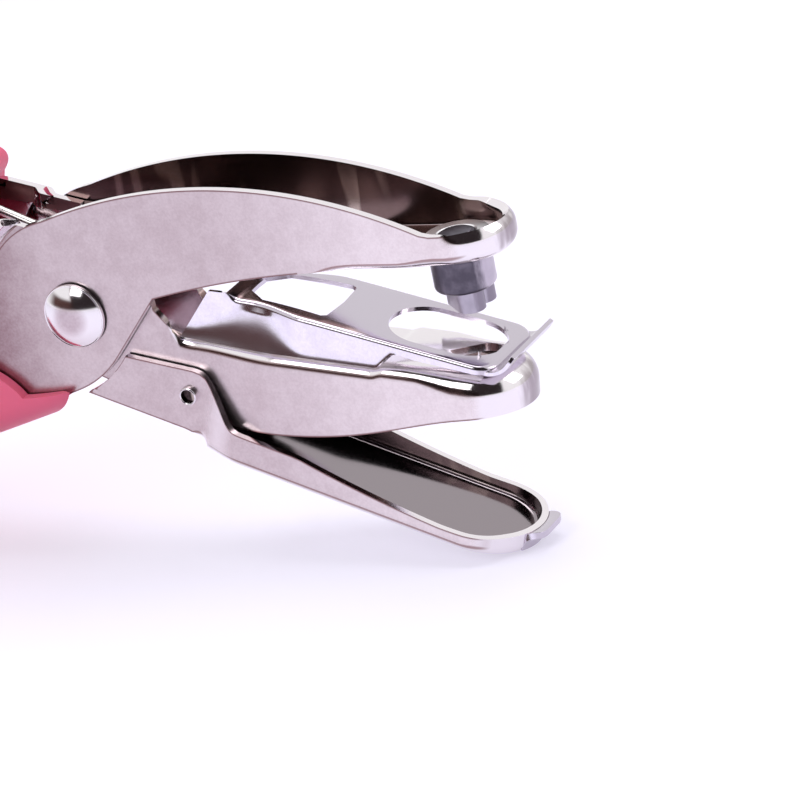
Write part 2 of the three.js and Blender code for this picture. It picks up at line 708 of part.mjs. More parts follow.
function stripperPlate() {
  const ears = cut(
    block(stripperRear, stripperRear + earLength + 3, stripperHalf, dieFace, tall),
    block(0, tall, stripperHalf - stripperSheet, -tall, tall),
  );
  const plan = upward(roundSlot(0, slotFront + 1.3, stripperNoseHalf + 0.4, 3), -tall, tall);
  const shell = cut(stripperShell(0), stripperShell(stripperSheet));
  const sides = shared(join(shell, ears), across(stripperSideShape(), tall), plan);
  const rearEnd = block(0, stripperRear + 2, stripperHalf - stripperSheet, -tall, tall);
  const punchSlot = upward(roundSlot(slotRear, slotFront, slotHalf, slotHalf - 0.1), -tall, tall);
  return cut(join(sides, stripperLip()), stripperWindow(), rearEnd, punchSlot);
}

// ---------- chip tray: drawn with its floor level, from the pin ----------
const trayHalfAt = (x) => earHalf + (trayHalf - earHalf) * smooth((x - 1.5) / 7.5);
const trayStations = [trayEarRear - 1, 1.5, ...spread(1.5, 9, 6).slice(1), 20, trayNose - 1];

function trayRings(inset, low) {
  const outline = (extra) => planOutline(trayStations, trayHalfAt, trayNose, inset + extra);
  return [
    ...bendLevels(trayBend - inset).map(([rise, drawn]) => ({ at: low + rise, points: outline(drawn) })),
    { at: tall, points: outline(0) },
  ];
}

function traySideShape() {
  const front = trayNose + trayHalf + 1;
  const shape = new THREE.Shape();
  shape.moveTo(trayEarRear, trayEarLow);
  shape.lineTo(0.4, trayEarLow);
  shape.quadraticCurveTo(2.6, trayEarLow, trayFloorRear - 0.6, trayFloor + 1.2);
  shape.lineTo(trayFloorRear, trayFloor);
  shape.lineTo(front, trayFloor);
  shape.lineTo(front, trayNoseTop + 1);
  shape.lineTo(trayNose + trayHalf * 0.7, trayNoseTop + 0.7);
  shape.quadraticCurveTo(trayNose + 2, trayNoseTop, trayNose - 3, trayNoseTop);
  shape.quadraticCurveTo(trayNose - 14, trayNoseTop + 0.6, trayNose - 24, trayWallTop);
  shape.lineTo(7.6, trayWallTop);
  shape.quadraticCurveTo(6.4, trayWallTop, 5.6, -1.1);
  shape.lineTo(2.6, 2.6);
  shape.quadraticCurveTo(1.6, 3.9, 0, 3.7);
  shape.lineTo(trayEarRear + 5, 2);
  shape.closePath();
  return shape;
}

function trayLip() {
  const wall = trayNose + trayHalf;
  const foot = trayNoseTop - 0.6;
  const shape = new THREE.Shape();
  shape.moveTo(wall - traySheet, foot);
  shape.lineTo(wall, foot);
  shape.quadraticCurveTo(wall + 0.2, foot + 1.6, wall + trayLipReach, foot + 2.1);
  shape.lineTo(wall + trayLipReach - 0.3, foot + 2.1 + traySheet);
  shape.quadraticCurveTo(wall - traySheet, foot + 2.3, wall - traySheet, foot);
  shape.closePath();
  const plan = roundSlot(wall - 6, wall + trayLipReach, trayLipHalf, 2);
  return shared(across(shape, trayLipHalf), upward(plan, -tall, tall));
}

// The punch lever's round belly, grown by the running gap, as it lies at rest in the tray's frame.
function bellyInTray() {
  const turn = jawOpening + trayOpening - trayPitch;
  const geometry = new THREE.CylinderGeometry(bellyRadius + trayEarGap, bellyRadius + trayEarGap, tall, 72);
  geometry.translate(bellyX - pinRestX, 0, bellyZ - pinRestZ).rotateY(-turn);
  return toSolid(geometry);
}

function chipTray() {
  const body = shared(across(traySideShape(), tall), loftUp(trayRings(0, trayFloor)));
  const hollow = loftUp(trayRings(traySheet, trayFloor + traySheet));
  const betweenEars = block(-tall, trayFloorRear - 0.2, earHalf - traySheet, -tall, tall);
  const ears = shared(
    across(traySideShape(), earHalf),
    block(-tall, 1.5, tall, -tall, tall),
  );
  const pinHole = axle(pinRadius + pinGap, tall, 0, 0);
  const walls = cut(join(body, ears), hollow, betweenEars);
  return cut(join(walls, trayLip()), pinHole, bellyInTray());
}

function trayPin() {
  const half = earHalf + pinStand;
  const round = 0.5;
  const end = [
    vec(pinRadius, half - round),
    vec(pinRadius * 0.86, half - round * 0.4),
    vec(pinRadius * 0.5, half),
    vec(0, half),
  ];
  const mirrored = end.toReversed().map((point) => vec(point.x, -point.y));
  return toSolid(new THREE.LatheGeometry([...mirrored, ...end], 28));
}

// ---------- grips ----------
// Rings along a grip, shrinking into its rounded tail.
function gripRings(front, lowAt, highAt, lowRadius, highRadius) {
  const xs = [
    ...spread(35 * degree, 90 * degree, 4).map((angle) => gripEnd + gripRound * (1 - Math.cos(angle))),
    ...spread(gripEnd + gripRound, front, 14).slice(1),
  ];
  return xs.map((x) => {
    const shrink = gripShrinkAt(x);
    const middle = (lowAt(x) + highAt(x)) / 2;
    const reach = ((highAt(x) - lowAt(x)) / 2) * shrink;
    const half = (punchHalf + gripWall) * shrink;
    return {
      at: x,
      points: sectionRing(half, middle - reach, middle + reach, lowRadius * shrink, highRadius * shrink),
    };
  });
}

function lowerGripFront() {
  const shape = new THREE.Shape();
  shape.moveTo(-tall * 2, -tall);
  shape.lineTo(toeFront, -tall);
  shape.lineTo(toeFront, lowerHandleZ - 1.2);
  shape.quadraticCurveTo(toeFront, lowerHandleZ + 0.3, toeFront - 1.6, lowerHandleZ + 0.2);
  shape.quadraticCurveTo(-7, -11.4, -10.3, -11.5);
  shape.quadraticCurveTo(-11.6, -9.6, -13.7, -8.3);
  shape.quadraticCurveTo(-17.2, -6, -18.4, -2);
  shape.lineTo(-18.4, tall);
  shape.lineTo(-tall * 2, tall);
  shape.closePath();
  return shape;
}

function lowerGrip() {
  const low = (x) => lowerBottom(x) - gripWall;
  const high = (x) => lowerBottom(x) + depthAt(x, lowerHandleDepth) + gripWall;
  const outer = shared(
    loftAlong(gripRings(toeFront, low, high, 4.6, 4)),
    across(lowerGripFront(), tall),
  );
  const room = handleStations(0, punchHalf + seatGap).map((x) => {
    const half = handleHalfAt(x, punchHalf) + seatGap;
    const bottom = lowerBottom(x) - seatGap;
    const top = lowerBottom(x) + depthAt(x, lowerHandleDepth) + seatGap;
    const bend = Math.min(bendRadius, half * 0.8);
    return { at: x - seatGap, points: sectionRing(half, bottom, top, bend, 0) };
  });
  const plateRoom = block(-19, 0, punchHalf + seatGap, lowerHandleZ - 3.5, tall);
  const above = shared(plateRoom, across(aboveLowerHandle(), tall));
  return cut(outer, loftAlong(room), above);
}

// Everything above the lower handle's bottom, near the pivot.
function aboveLowerHandle() {
  const shape = new THREE.Shape();
  shape.moveTo(-19, lowerBottom(-19) - seatGap);
  shape.lineTo(0, lowerBottom(0) - seatGap);
  shape.lineTo(0, tall);
  shape.lineTo(-19, tall);
  shape.closePath();
  return shape;
}

function upperGripFront() {
  const shape = new THREE.Shape();
  const top = upperTop(guardFront) + gripWall + guardRise;
  shape.moveTo(-tall * 2, -tall);
  shape.lineTo(guardFront - 4, -tall);
  shape.lineTo(guardFront - 4, 0);
  shape.quadraticCurveTo(guardFront - 1.5, 6, guardFront - 0.8, upperTop(guardFront));
  shape.quadraticCurveTo(guardFront + 1.4, top - 2, guardFront - 1.2, top);
  shape.quadraticCurveTo(guardFront - 3, top + 1, guardFront - 6, top + 2);
  shape.lineTo(-tall * 2, tall);
  shape.closePath();
  return shape;
}

function upperGrip() {
  const low = (x) => upperTop(x) - depthAt(x, upperHandleDepth) - gripWall;
  const guard = (x) => guardRise * smooth((x - guardFront + guardLength) / guardLength);
  const high = (x) => upperTop(x) + gripWall + guard(x);
  const outer = shared(
    loftAlong(gripRings(guardFront + 1, low, high, 4, 4.6)),
    across(upperGripFront(), tall),
  );
  const room = handleStations(guardFront + 3, punchHalf + seatGap).map((x) => {
    const half = handleHalfAt(x, punchHalf) + seatGap;
    const top = upperTop(x) + seatGap;
    const bottom = upperTop(x) - depthAt(x, upperHandleDepth) - seatGap;
    const bend = Math.min(bendRadius, half * 0.8);
    return { at: x - seatGap, points: sectionRing(half, bottom, top, 0, bend) };
  });
  return cut(outer, loftAlong(room));
}

// ---------- assembly ----------
const nickel = { color: 0xd9d2da, roughness: 0.22, metalness: 1 };
const polished = { color: 0xe2dee6, roughness: 0.1, metalness: 1 };
const toolSteel = { color: 0x8a8494, roughness: 0.42, metalness: 0.9 };
const springSteel = { color: 0xb4b0b4, roughness: 0.3, metalness: 1 };
const pinkVinyl = { color: 0xe0567c, roughness: 0.45, metalness: 0 };

function piece(name, solid, finish) {
  const mesh = new THREE.Mesh(toGeometry(solid), new THREE.MeshStandardMaterial(finish));
  mesh.name = name;
  return mesh;
}

const holePunch = new THREE.Group();

const punchSide = new THREE.Group();
punchSide.add(
  piece('punch_lever', punchLever(), nickel),
  piece('heart_punch', punch(), toolSteel),
  piece('punch_washer', punchWasher(), polished),
  piece('lower_grip', lowerGrip(), pinkVinyl),
);

const dieSide = new THREE.Group();
dieSide.rotation.y = jawOpening;
dieSide.add(
  piece('die_lever', dieLever(), nickel),
  piece('stripper_plate', stripperPlate(), nickel),
  piece('upper_grip', upperGrip(), pinkVinyl),
);
const pin = piece('tray_pin', trayPin(), polished);
pin.position.set(pinX, 0, pinZ);
dieSide.add(pin);

const tray = piece('chip_tray', chipTray(), nickel);
tray.position.set(pinX, 0, pinZ);
tray.rotation.y = trayOpening - trayPitch;
dieSide.add(tray);

const pivot = new THREE.Group();
pivot.add(
  piece('pivot_rivet', pivotRivet(), polished),
  piece('return_spring', returnSpring(), springSteel),
);

holePunch.add(punchSide, dieSide, pivot);

// The origin is under the middle of the whole tool, on the surface it stands on.
holePunch.updateMatrixWorld(true);
const bounds = new THREE.Box3().setFromObject(holePunch, true);
const middle = bounds.getCenter(new THREE.Vector3());
holePunch.position.set(-middle.x, -middle.y, -bounds.min.z);

export default holePunch;
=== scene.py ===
# Plier-type hole punch: finished surfaces, materials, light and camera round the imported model.
import json
import bmesh
import bpy
import numpy as np
from math import radians, pi
from mathutils import Matrix


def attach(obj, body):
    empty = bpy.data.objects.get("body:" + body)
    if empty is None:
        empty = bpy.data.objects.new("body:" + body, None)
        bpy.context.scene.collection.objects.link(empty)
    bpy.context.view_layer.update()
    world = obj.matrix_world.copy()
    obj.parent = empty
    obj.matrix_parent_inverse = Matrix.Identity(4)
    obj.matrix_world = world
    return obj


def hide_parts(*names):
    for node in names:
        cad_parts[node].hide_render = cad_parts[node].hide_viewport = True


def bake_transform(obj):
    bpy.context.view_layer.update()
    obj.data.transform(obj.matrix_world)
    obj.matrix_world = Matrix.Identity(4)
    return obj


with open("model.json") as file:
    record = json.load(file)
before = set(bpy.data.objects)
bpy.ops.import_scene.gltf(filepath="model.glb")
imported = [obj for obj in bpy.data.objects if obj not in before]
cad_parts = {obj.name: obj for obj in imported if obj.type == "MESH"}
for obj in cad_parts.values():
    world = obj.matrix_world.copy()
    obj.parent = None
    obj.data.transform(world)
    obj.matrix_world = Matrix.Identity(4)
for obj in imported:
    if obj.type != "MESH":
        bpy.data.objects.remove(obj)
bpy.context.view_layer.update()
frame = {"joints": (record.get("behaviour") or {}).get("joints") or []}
joints = {joint["name"]: joint for joint in frame["joints"]}
pivotAt = np.array(joints["squeeze"]["pos_m"])
pinAt = np.array(joints["tray_swing"]["pos_m"])
jawTurn = radians(joints["squeeze"]["range_deg"][1])
trayTurn = radians(joints["tray_swing"]["range_deg"][1])
print("frame loaded")


def settle(points, origin, turn=0.0):
    # millimetres from a joint, turned nose down by an angle, to metres in the shared frame
    x, y, z = np.moveaxis(np.asarray(points, float), -1, 0)
    c, s = np.cos(turn), np.sin(turn)
    return np.stack([x * c + z * s, y, z * c - x * s], -1) / 1000 + origin


def smooth(t):
    # 3t^2 - 2t^3, held at 0 and 1 outside the unit range
    t = np.clip(t, 0, 1)
    return t * t * (3 - 2 * t)


def stations(start, *runs):
    # places along a side: each run is (its end, how many places it adds), evenly spaced
    places = [[start]]
    for end, count in runs:
        places.append(np.linspace(places[-1][-1], end, count + 1)[1:])
    return np.concatenate(places)


def arc(x, y, radius, start, end, steps):
    # centre plus radius times (cos, sin), from one angle in degrees to another
    angle = np.radians(np.linspace(start, end, steps + 1))
    return np.stack([x + radius * np.cos(angle), y + radius * np.sin(angle)], 1)


def quadCurve(start, *entries, steps=10):
    # a chain of straight lines and curves (1-t)^2 a + 2t(1-t) b + t^2 c
    # each entry is an end c, or a (b, c) pair
    t = np.linspace(0, 1, steps + 1)[1:, None]
    line = [np.array([start], float)]
    for entry in entries:
        entry = np.array(entry, float)
        if entry.ndim == 1:
            line.append(entry[None])
        else:
            line.append((1 - t) ** 2 * line[-1][-1] + 2 * t * (1 - t) * entry[0] + t ** 2 * entry[1])
    return np.concatenate(line)


def gridFaces(rows, cols, closed=False, keep=None):
    # quads of a grid of points, row by row; keep picks columns that get faces
    span = cols if closed else cols - 1
    r, c = np.meshgrid(np.arange(rows - 1), np.arange(span), indexing="ij")
    if keep is not None:
        chosen = keep[c] & keep[(c + 1) % cols]
        r, c = r[chosen], c[chosen]
    r, c = r.ravel(), c.ravel()
    beside = (c + 1) % cols
    return np.stack([r * cols + c, r * cols + beside, (r + 1) * cols + beside, (r + 1) * cols + c], 1)


def makeMesh(name, parts, orient=True, rim=None):
    # one mesh from several (points, faces) pairs, with shared borders welded; rim is kept as an attribute
    verts, faces, start = [], [], 0
    for points, quads in parts:
        flat = np.asarray(points, float).reshape(-1, 3)
        verts.append(flat)
        faces.extend((np.asarray(quads) + start).tolist())
        start += len(flat)
    mesh = bpy.data.meshes.new(name)
    mesh.from_pydata(np.concatenate(verts).tolist(), [], faces)
    if rim is not None:
        mesh.attributes.new("rim", "FLOAT", "POINT").data.foreach_set("value", rim)
    tidyMesh(mesh, orient)
    return mesh


def tidyMesh(mesh, orient=True, weld=2e-6):
    # welds points that coincide; orient turns a closed skin's normals outwards
    bm = bmesh.new()
    bm.from_mesh(mesh)
    bmesh.ops.remove_doubles(bm, verts=bm.verts, dist=weld)
    bmesh.ops.dissolve_degenerate(bm, edges=bm.edges, dist=weld / 4)
    if orient:
        bmesh.ops.recalc_face_normals(bm, faces=bm.faces)
    bm.to_mesh(mesh)
    bm.free()


def addObject(name, mesh):
    # an object at the origin, in the scene
    piece = bpy.data.objects.new(name, mesh)
    bpy.context.scene.collection.objects.link(piece)
    return piece


def applyAll(piece):
    # replaces the mesh by what its modifiers make of it
    bpy.context.view_layer.update()
    done = bpy.data.meshes.new_from_object(piece.evaluated_get(bpy.context.evaluated_depsgraph_get()))
    piece.modifiers.clear()
    old = piece.data
    piece.data = done
    bpy.data.meshes.remove(old)
    piece.data.name = piece.name


def thicken(piece, thickness, inwards=True, even=True):
    # a skin becomes a sheet: the skin itself, and a copy moved along its normals by the thickness
    wall = piece.modifiers.new("sheet", "SOLIDIFY")
    wall.thickness = thickness / 1000
    wall.offset = -1 if inwards else 1
    wall.use_even_offset = even
    wall.material_offset = 1  # the second skin takes the inner material
    applyAll(piece)
    tidyMesh(piece.data)


def carve(piece, cutters):
    # the piece less the cutters, which are used up
    for cutter in cutters:
        tool = piece.modifiers.new("cut", "BOOLEAN")
        tool.operation = "DIFFERENCE"
        tool.solver = "MANIFOLD"
        tool.object = cutter
    applyAll(piece)
    slots = piece.data.materials
    while len(slots) and slots[-1] is None:
        slots.pop()
    for face in piece.data.polygons:
        if face.material_index >= len(slots):
            face.material_index = 0  # cut faces take the first material
    for cutter in cutters:
        bpy.data.objects.remove(cutter)


def shadeByAngle(piece, angle):
    # smooth shading, with a sharp edge wherever two faces meet at more than the angle
    mesh = piece.data
    mesh.shade_smooth()
    bm = bmesh.new()
    bm.from_mesh(mesh)
    limit = radians(angle)
    for edge in bm.edges:
        edge.smooth = len(edge.link_faces) == 2 and edge.calc_face_angle(0) < limit
    bm.to_mesh(mesh)
    bm.free()


def softenEdges(piece, width, segments=2, angle=40):
    # rounds the sharp edges; hardened normals keep the faces beside them flat
    shadeByAngle(piece, 50)
    bevel = piece.modifiers.new("edges", "BEVEL")
    bevel.width = width / 1000
    bevel.segments = segments
    bevel.limit_method = "ANGLE"
    bevel.angle_limit = radians(angle)
    bevel.use_clamp_overlap = True
    bevel.harden_normals = True
    applyAll(piece)


def giveMaterials(piece, *materials):
    # adds the materials as slots, in order
    for material in materials:
        piece.data.materials.append(material)


def finishPiece(piece, body, slot, material, *replaced):
    # a single material, unless the piece already has its own, then the body it rides on
    if material is not None:
        piece.data.materials.clear()
        giveMaterials(piece, material)
    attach(piece, body)
    if replaced:
        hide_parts(*replaced)
    print("made", piece.name, len(piece.data.polygons), "faces")


def prism(outline, low, high, axis="z"):
    # an outline carried straight up, or along the pivot's direction when axis is "y"
    outline = np.asarray(outline, float)
    count = len(outline)
    order = [0, 1, 2] if axis == "z" else [0, 2, 1]
    ends = [np.column_stack([outline, np.full(count, float(level))])[:, order] for level in (low, high)]
    i = np.arange(count)
    sides = np.stack([i, (i + 1) % count, (i + 1) % count + count, i + count], 1).tolist()
    return np.concatenate(ends), sides + [list(range(count)), list(range(count, 2 * count))]


def cutterFrom(outline, low, high, origin, turn=0.0, axis="z"):
    # a prism in a joint's own millimetres, as an object to cut with
    points, faces = prism(outline, low, high, axis)
    mesh = bpy.data.meshes.new("cutter")
    mesh.from_pydata(settle(points, origin, turn).tolist(), [], faces)
    tidyMesh(mesh)
    return addObject("cutter", mesh)


def latheMesh(profile, steps):
    # a profile of (radius, height) turned about the Z axis, poles closed
    profile = np.asarray(profile, float)
    angle = np.linspace(0, 2 * pi, steps, endpoint=False)
    radius, height = profile[:, :1], profile[:, 1:]
    points = np.stack([radius * np.cos(angle), radius * np.sin(angle), height + 0 * angle], -1)
    return points, gridFaces(len(profile), steps, closed=True)


class Value:
    # a shader socket that takes part in Python expressions
    def __init__(self, graph, socket):
        self.graph = graph
        self.socket = socket

    def math(self, operation, other=None, swap=False):
        # one Math node; swap puts this value second
        pair = [self, other] if not swap else [other, self]
        inputs = {i: v for i, v in enumerate(pair) if v is not None}
        return self.graph.node("ShaderNodeMath", {"operation": operation}, inputs)[0]

    def __add__(self, other):
        return self.math("ADD", other)

    def __sub__(self, other):
        return self.math("SUBTRACT", other)

    def __mul__(self, other):
        return self.math("MULTIPLY", other)

    def __rsub__(self, other):
        return self.math("SUBTRACT", other, swap=True)

    def __abs__(self):
        return self.math("ABSOLUTE")

    __radd__ = __add__
    __rmul__ = __mul__

    def ramp(self, low, high):
        # 0 below low, 1 above high, smooth between
        settings = {"interpolation_type": "SMOOTHSTEP", "clamp": True}
        inputs = {"Value": self, "From Min": low, "From Max": high}
        return self.graph.node("ShaderNodeMapRange", settings, inputs)[0]


class Graph:
    # the nodes of one material, or of the world
    def __init__(self, owner, shader="Principled BSDF", constants=None):
        self.owner = owner
        owner.use_nodes = True
        self.tree = owner.node_tree
        self.shader = self.tree.nodes[shader]
        for key, value in (constants or {}).items():
            self.shader.inputs[key].default_value = value

    def node(self, kind, settings=None, inputs=None):
        # any node: settings first, then the values or links of its sockets
        made = self.tree.nodes.new(kind)
        for key, value in (settings or {}).items():
            setattr(made, key, value)
        for key, value in (inputs or {}).items():
            self.feed(made.inputs[key], value)
        return [Value(self, socket) for socket in made.outputs]

    def feed(self, socket, value):
        # a link from a Value, or else a plain value
        if isinstance(value, Value):
            self.tree.links.new(value.socket, socket)
        elif isinstance(value, (tuple, list)) and len(value) == 3 and socket.type == "RGBA":
            socket.default_value = (*value, 1)
        else:
            socket.default_value = value

    def place(self, scale=(1, 1, 1)):
        # the object's own coordinates, in metres
        spot = self.node("ShaderNodeTexCoord")[3]
        return self.node("ShaderNodeMapping", None, {"Vector": spot, "Scale": scale})[0]

    def facing(self):
        # x, y and z of the surface's direction
        return self.split(self.node("ShaderNodeTexCoord")[1])

    def split(self, vector):
        # x, y and z of a vector
        return self.node("ShaderNodeSeparateXYZ", None, {"Vector": vector})

    def noise(self, size, detail=2, rough=0.5, scale=(1, 1, 1)):
        # soft random pattern; size is how many grains a millimetre holds
        settings = {"noise_dimensions": "3D"}
        inputs = {"Vector": self.place(scale), "Scale": size * 1000, "Detail": detail, "Roughness": rough}
        return self.node("ShaderNodeTexNoise", settings, inputs)[0]

    def mix(self, amount, a, b):
        # colour a where amount is 0, b where it is 1
        return self.node("ShaderNodeMix", {"data_type": "RGBA"}, {0: amount, 6: a, 7: b})[2]

    def bump(self, height, distance, strength=1.0):
        # distance is in millimetres
        inputs = {"Height": height, "Distance": distance / 1000, "Strength": strength}
        return self.node("ShaderNodeBump", None, inputs)[0]

    def set(self, **links):
        # feeds the shader's sockets, whose names have _ for a space
        for key, value in links.items():
            self.feed(self.shader.inputs[key.replace("_", " ")], value)
        return self.owner


def materialGraph(name, constants):
    # a new material, with the values that are the same all over it
    return Graph(bpy.data.materials.new(name), constants=constants)


outerLook = {
    "wall": (0.83, 0.75, 0.765),
    "bend": (0.84, 0.79, 0.82),
    "wallRough": 0.26,
    "bendRough": 0.07,
    "wallAxis": 1,  # walls are the faces whose normal lies along this axis
    "grain": 0.006,  # height of the fine grain, in millimetres
    # tone that the walls take from the painted shade and from the random clouds
    "shadeAndMottle": (0.3, 0.2, 0.22),
    "shadeTowardHandles": 0.4,  # painted shade: how much the walls darken slowly towards the handles
    "shadeBehindPivot": 0.5,  # painted shade: how much more they darken behind the pivot
    "mottle": 0.2,  # depth of the faint clouds
    "brown": (0.2, 0.07, 0.06),
    "rimTint": 0.7,  # painted reflection: thin brown line where a wall rolls over into an edge
    "edgeBrown": (0.16, 0.06, 0.06),
    "edgeTint": 0.0,  # the same painted reflection along a free edge, for pieces that know how far below it a point lies
    "away": (0.25, 0.2, 0.22),
    "turned": 0.8,  # painted shade: how much darker the bends are that face away past the nose
    "band": (0.8, 0.68, 0.6),
    "reflectionStreak": 0.0,  # strength of the pale bands inside, which are painted reflections
}
# inside faces: dark walls as painted shade
innerLook = outerLook | {
    "wall": (0.17, 0.115, 0.105), "bend": (0.6, 0.52, 0.54), "wallRough": 0.14, "wallAxis": 2,
    "shadeTowardHandles": 0.0, "shadeBehindPivot": 0.0, "rimTint": 0.0, "turned": 0.0, "reflectionStreak": 0.5,
}
brightLook = outerLook | {
    "wall": (0.8, 0.72, 0.76), "bend": (0.84, 0.8, 0.83), "wallRough": 0.08, "rimTint": 0.0, "turned": 0.0,
}
# painted light: a near-white copy of the plating, for the stripper's inside and the washer
paintedLightLook = brightLook | {
    "wall": (0.96, 0.94, 0.97), "bend": (0.96, 0.94, 0.97), "wallRough": 0.3, "bendRough": 0.25,
}
# the stripper's plating, with its bends painted darker as shade
stripLook = brightLook | {
    "wall": (0.9, 0.86, 0.97), "bend": (0.58, 0.53, 0.6), "wallRough": 0.12, "bendRough": 0.1,
    "shadeTowardHandles": 0.0, "shadeBehindPivot": 0.0,
}
# painted shade and painted reflections for the die lever's throat
throatLook = innerLook | {"wall": (0.2, 0.13, 0.12), "reflectionStreak": 0.9}
# painted shade: near black inside the tray pin's bores
boreLook = innerLook | {"wall": (0.02, 0.015, 0.015), "bend": (0.05, 0.04, 0.04)}
# painted shade: the chip tray's inside is dark
trayLook = innerLook | {"wall": (0.1, 0.075, 0.075), "bend": (0.3, 0.26, 0.28), "reflectionStreak": 0.12}


def pastNose(facing, streaks, spread):
    # how far a surface faces away past the nose, x * 0.87 + y * 0.5, broken up by streaks; painted shade and
    # light follow it
    return facing[0] * 0.87 + facing[1] * 0.5 + (streaks - 0.5) * spread


def nickelMaterial(name, look):
    # plated sheet: satin walls with a fine grain, burnished bends; inside, the walls are painted dark as
    # shade
    g = materialGraph(name, {"Metallic": 1.0})
    grain = g.noise(9, 3, 0.6)
    cloud = g.noise(0.12, 2, 0.5)
    facing = g.facing()
    along = abs(facing[look["wallAxis"]])
    side = abs(facing[1])
    wall = along.ramp(0.92, 0.995) if look["wallAxis"] == 1 else 1 - along.ramp(0.3, 0.8)
    rough = look["bendRough"] + wall * (look["wallRough"] - look["bendRough"]) + grain * 0.03 + cloud * 0.05
    plain = g.mix(wall, look["bend"], look["wall"])
    # painted shade on the walls, darker towards the handles and behind the pivot, and random clouds
    x = g.split(g.place())[0]
    shadeAndMottle = (1 - x.ramp(0.028, 0.06)) * look["shadeTowardHandles"] + (1 - x.ramp(-0.008, 0.008)) * look["shadeBehindPivot"]
    mottle = g.noise(0.35, 4, 0.65).ramp(0.35, 0.65) * 0.5 + g.noise(2.6, 2, 0.7).ramp(0.3, 0.7) * 0.5
    colour = g.mix((shadeAndMottle + mottle * look["mottle"]) * wall, plain, look["shadeAndMottle"])
    # painted reflections: brown lines along the rolled and the free edges
    rim = side.ramp(0.85, 0.93) * (1 - side.ramp(0.97, 0.992)) * abs(facing[2]).ramp(0.1, 0.25)
    colour = g.mix(rim * look["rimTint"], colour, look["brown"])
    below = g.node("ShaderNodeAttribute", {"attribute_name": "rim"})[2]
    line = (1 - below.ramp(0.08, 0.3)) * side.ramp(0.9, 0.98)
    colour = g.mix(line * look["edgeTint"], colour, look["edgeBrown"])
    # painted shade on the bends that face away past the nose, painted reflections as pale bands inside
    turned = pastNose(facing, g.noise(0.7, 2, 0.5, (1, 1, 0.2)), 0.7).ramp(0.45, 0.9)
    colour = g.mix(turned * (1 - side.ramp(0.9, 0.99)) * look["turned"], colour, look["away"])
    reflectionBands = g.noise(0.33, 1, 0.5, (1, 0.15, 0.2)).ramp(0.54, 0.64)
    colour = g.mix(reflectionBands * look["reflectionStreak"] * wall, colour, look["band"])
    return g.set(Base_Color=colour, Roughness=rough, Normal=g.bump(grain, look["grain"], 0.35))


# the levers and the tray take the painted brown reflection along their free edges
nickelRimmed = nickelMaterial("nickel_rimmed", outerLook | {"edgeTint": 0.85})
nickelInner = nickelMaterial("nickel_inner", innerLook)
nickelBright = nickelMaterial("nickel_bright", brightLook)
nickelStrip = nickelMaterial("nickel_strip", stripLook)
nickelTray = nickelMaterial("nickel_tray", trayLook)
nickelPaintedLight = nickelMaterial("nickel_painted_light", paintedLightLook)
nickelThroat = nickelMaterial("nickel_throat", throatLook)
nickelBore = nickelMaterial("nickel_bore", boreLook)

# painted shade and highlight round the punch's axis; from and to: where, round the axis, the tone changes
# from dark to pale
collarLook = {"dark": (0.09, 0.08, 0.105), "pale": (0.5, 0.45, 0.52), "from": 0.25, "to": 0.7, "rough": 0.24}
tipLook = {"dark": (0.48, 0.44, 0.52), "pale": (0.25, 0.22, 0.27), "from": 0.1, "to": 0.5, "rough": 0.3}
cloudTint = (0.3, 0.27, 0.33)


def toolMaterial(name, look):
    # unplated turned steel with painted light and shade round its axis, with fine rings and faint clouds
    g = materialGraph(name, {"Metallic": 1.0})
    rings = g.noise(3, 2, 0.5, (0.15, 0.15, 6))
    cloud = g.noise(0.35, 3, 0.6)
    turned = pastNose(g.facing(), g.noise(1.1, 3, 0.6, (1, 1, 0.25)), 0.6).ramp(look["from"], look["to"])
    # painted light and shade, changing with the way the surface faces
    paintedLightAndShade = g.mix(turned, look["dark"], look["pale"])
    colour = g.mix(cloud.ramp(0.4, 0.75) * 0.35, paintedLightAndShade, cloudTint)
    return g.set(Base_Color=colour, Roughness=look["rough"] + cloud * 0.12, Normal=g.bump(rings, 0.01, 0.5))


toolSteel = toolMaterial("turned_steel", collarLook)
tipSteel = toolMaterial("ground_steel", tipLook)


def springMaterial(pale=(0.7, 0.69, 0.69), dark=(0.5, 0.48, 0.47)):
    # drawn wire with fine streaks
    g = materialGraph("spring_wire", {"Metallic": 1.0})
    streaks = g.noise(4, 2, 0.5)
    colour = g.mix(streaks, pale, dark)
    return g.set(Base_Color=colour, Roughness=0.22 + streaks * 0.12, Normal=g.bump(streaks, 0.006, 0.4))


def vinylMaterial(pale=(0.88, 0.145, 0.255), deep=(0.82, 0.1, 0.19)):
    # dipped vinyl: even colour with faint clouds and a fine skin
    soft = {"Specular IOR Level": 0.4, "Subsurface Weight": 0.12, "Subsurface Scale": 0.002}
    g = materialGraph("pink_vinyl", soft)
    cloud = g.noise(0.05, 2, 0.5)
    skin = g.noise(2.2, 2, 0.5)
    colour = g.mix(cloud.ramp(0.3, 0.75), pale, deep)
    return g.set(Base_Color=colour, Roughness=0.36 + skin * 0.1, Normal=g.bump(skin, 0.02, 0.35))


springWire = springMaterial()
vinyl = vinylMaterial()
print("materials made")

rollDepth = 1.68  # how far down a rolled rim leans in, in millimetres
farFromEdge = 9.0  # the rim value of a point far from any free edge


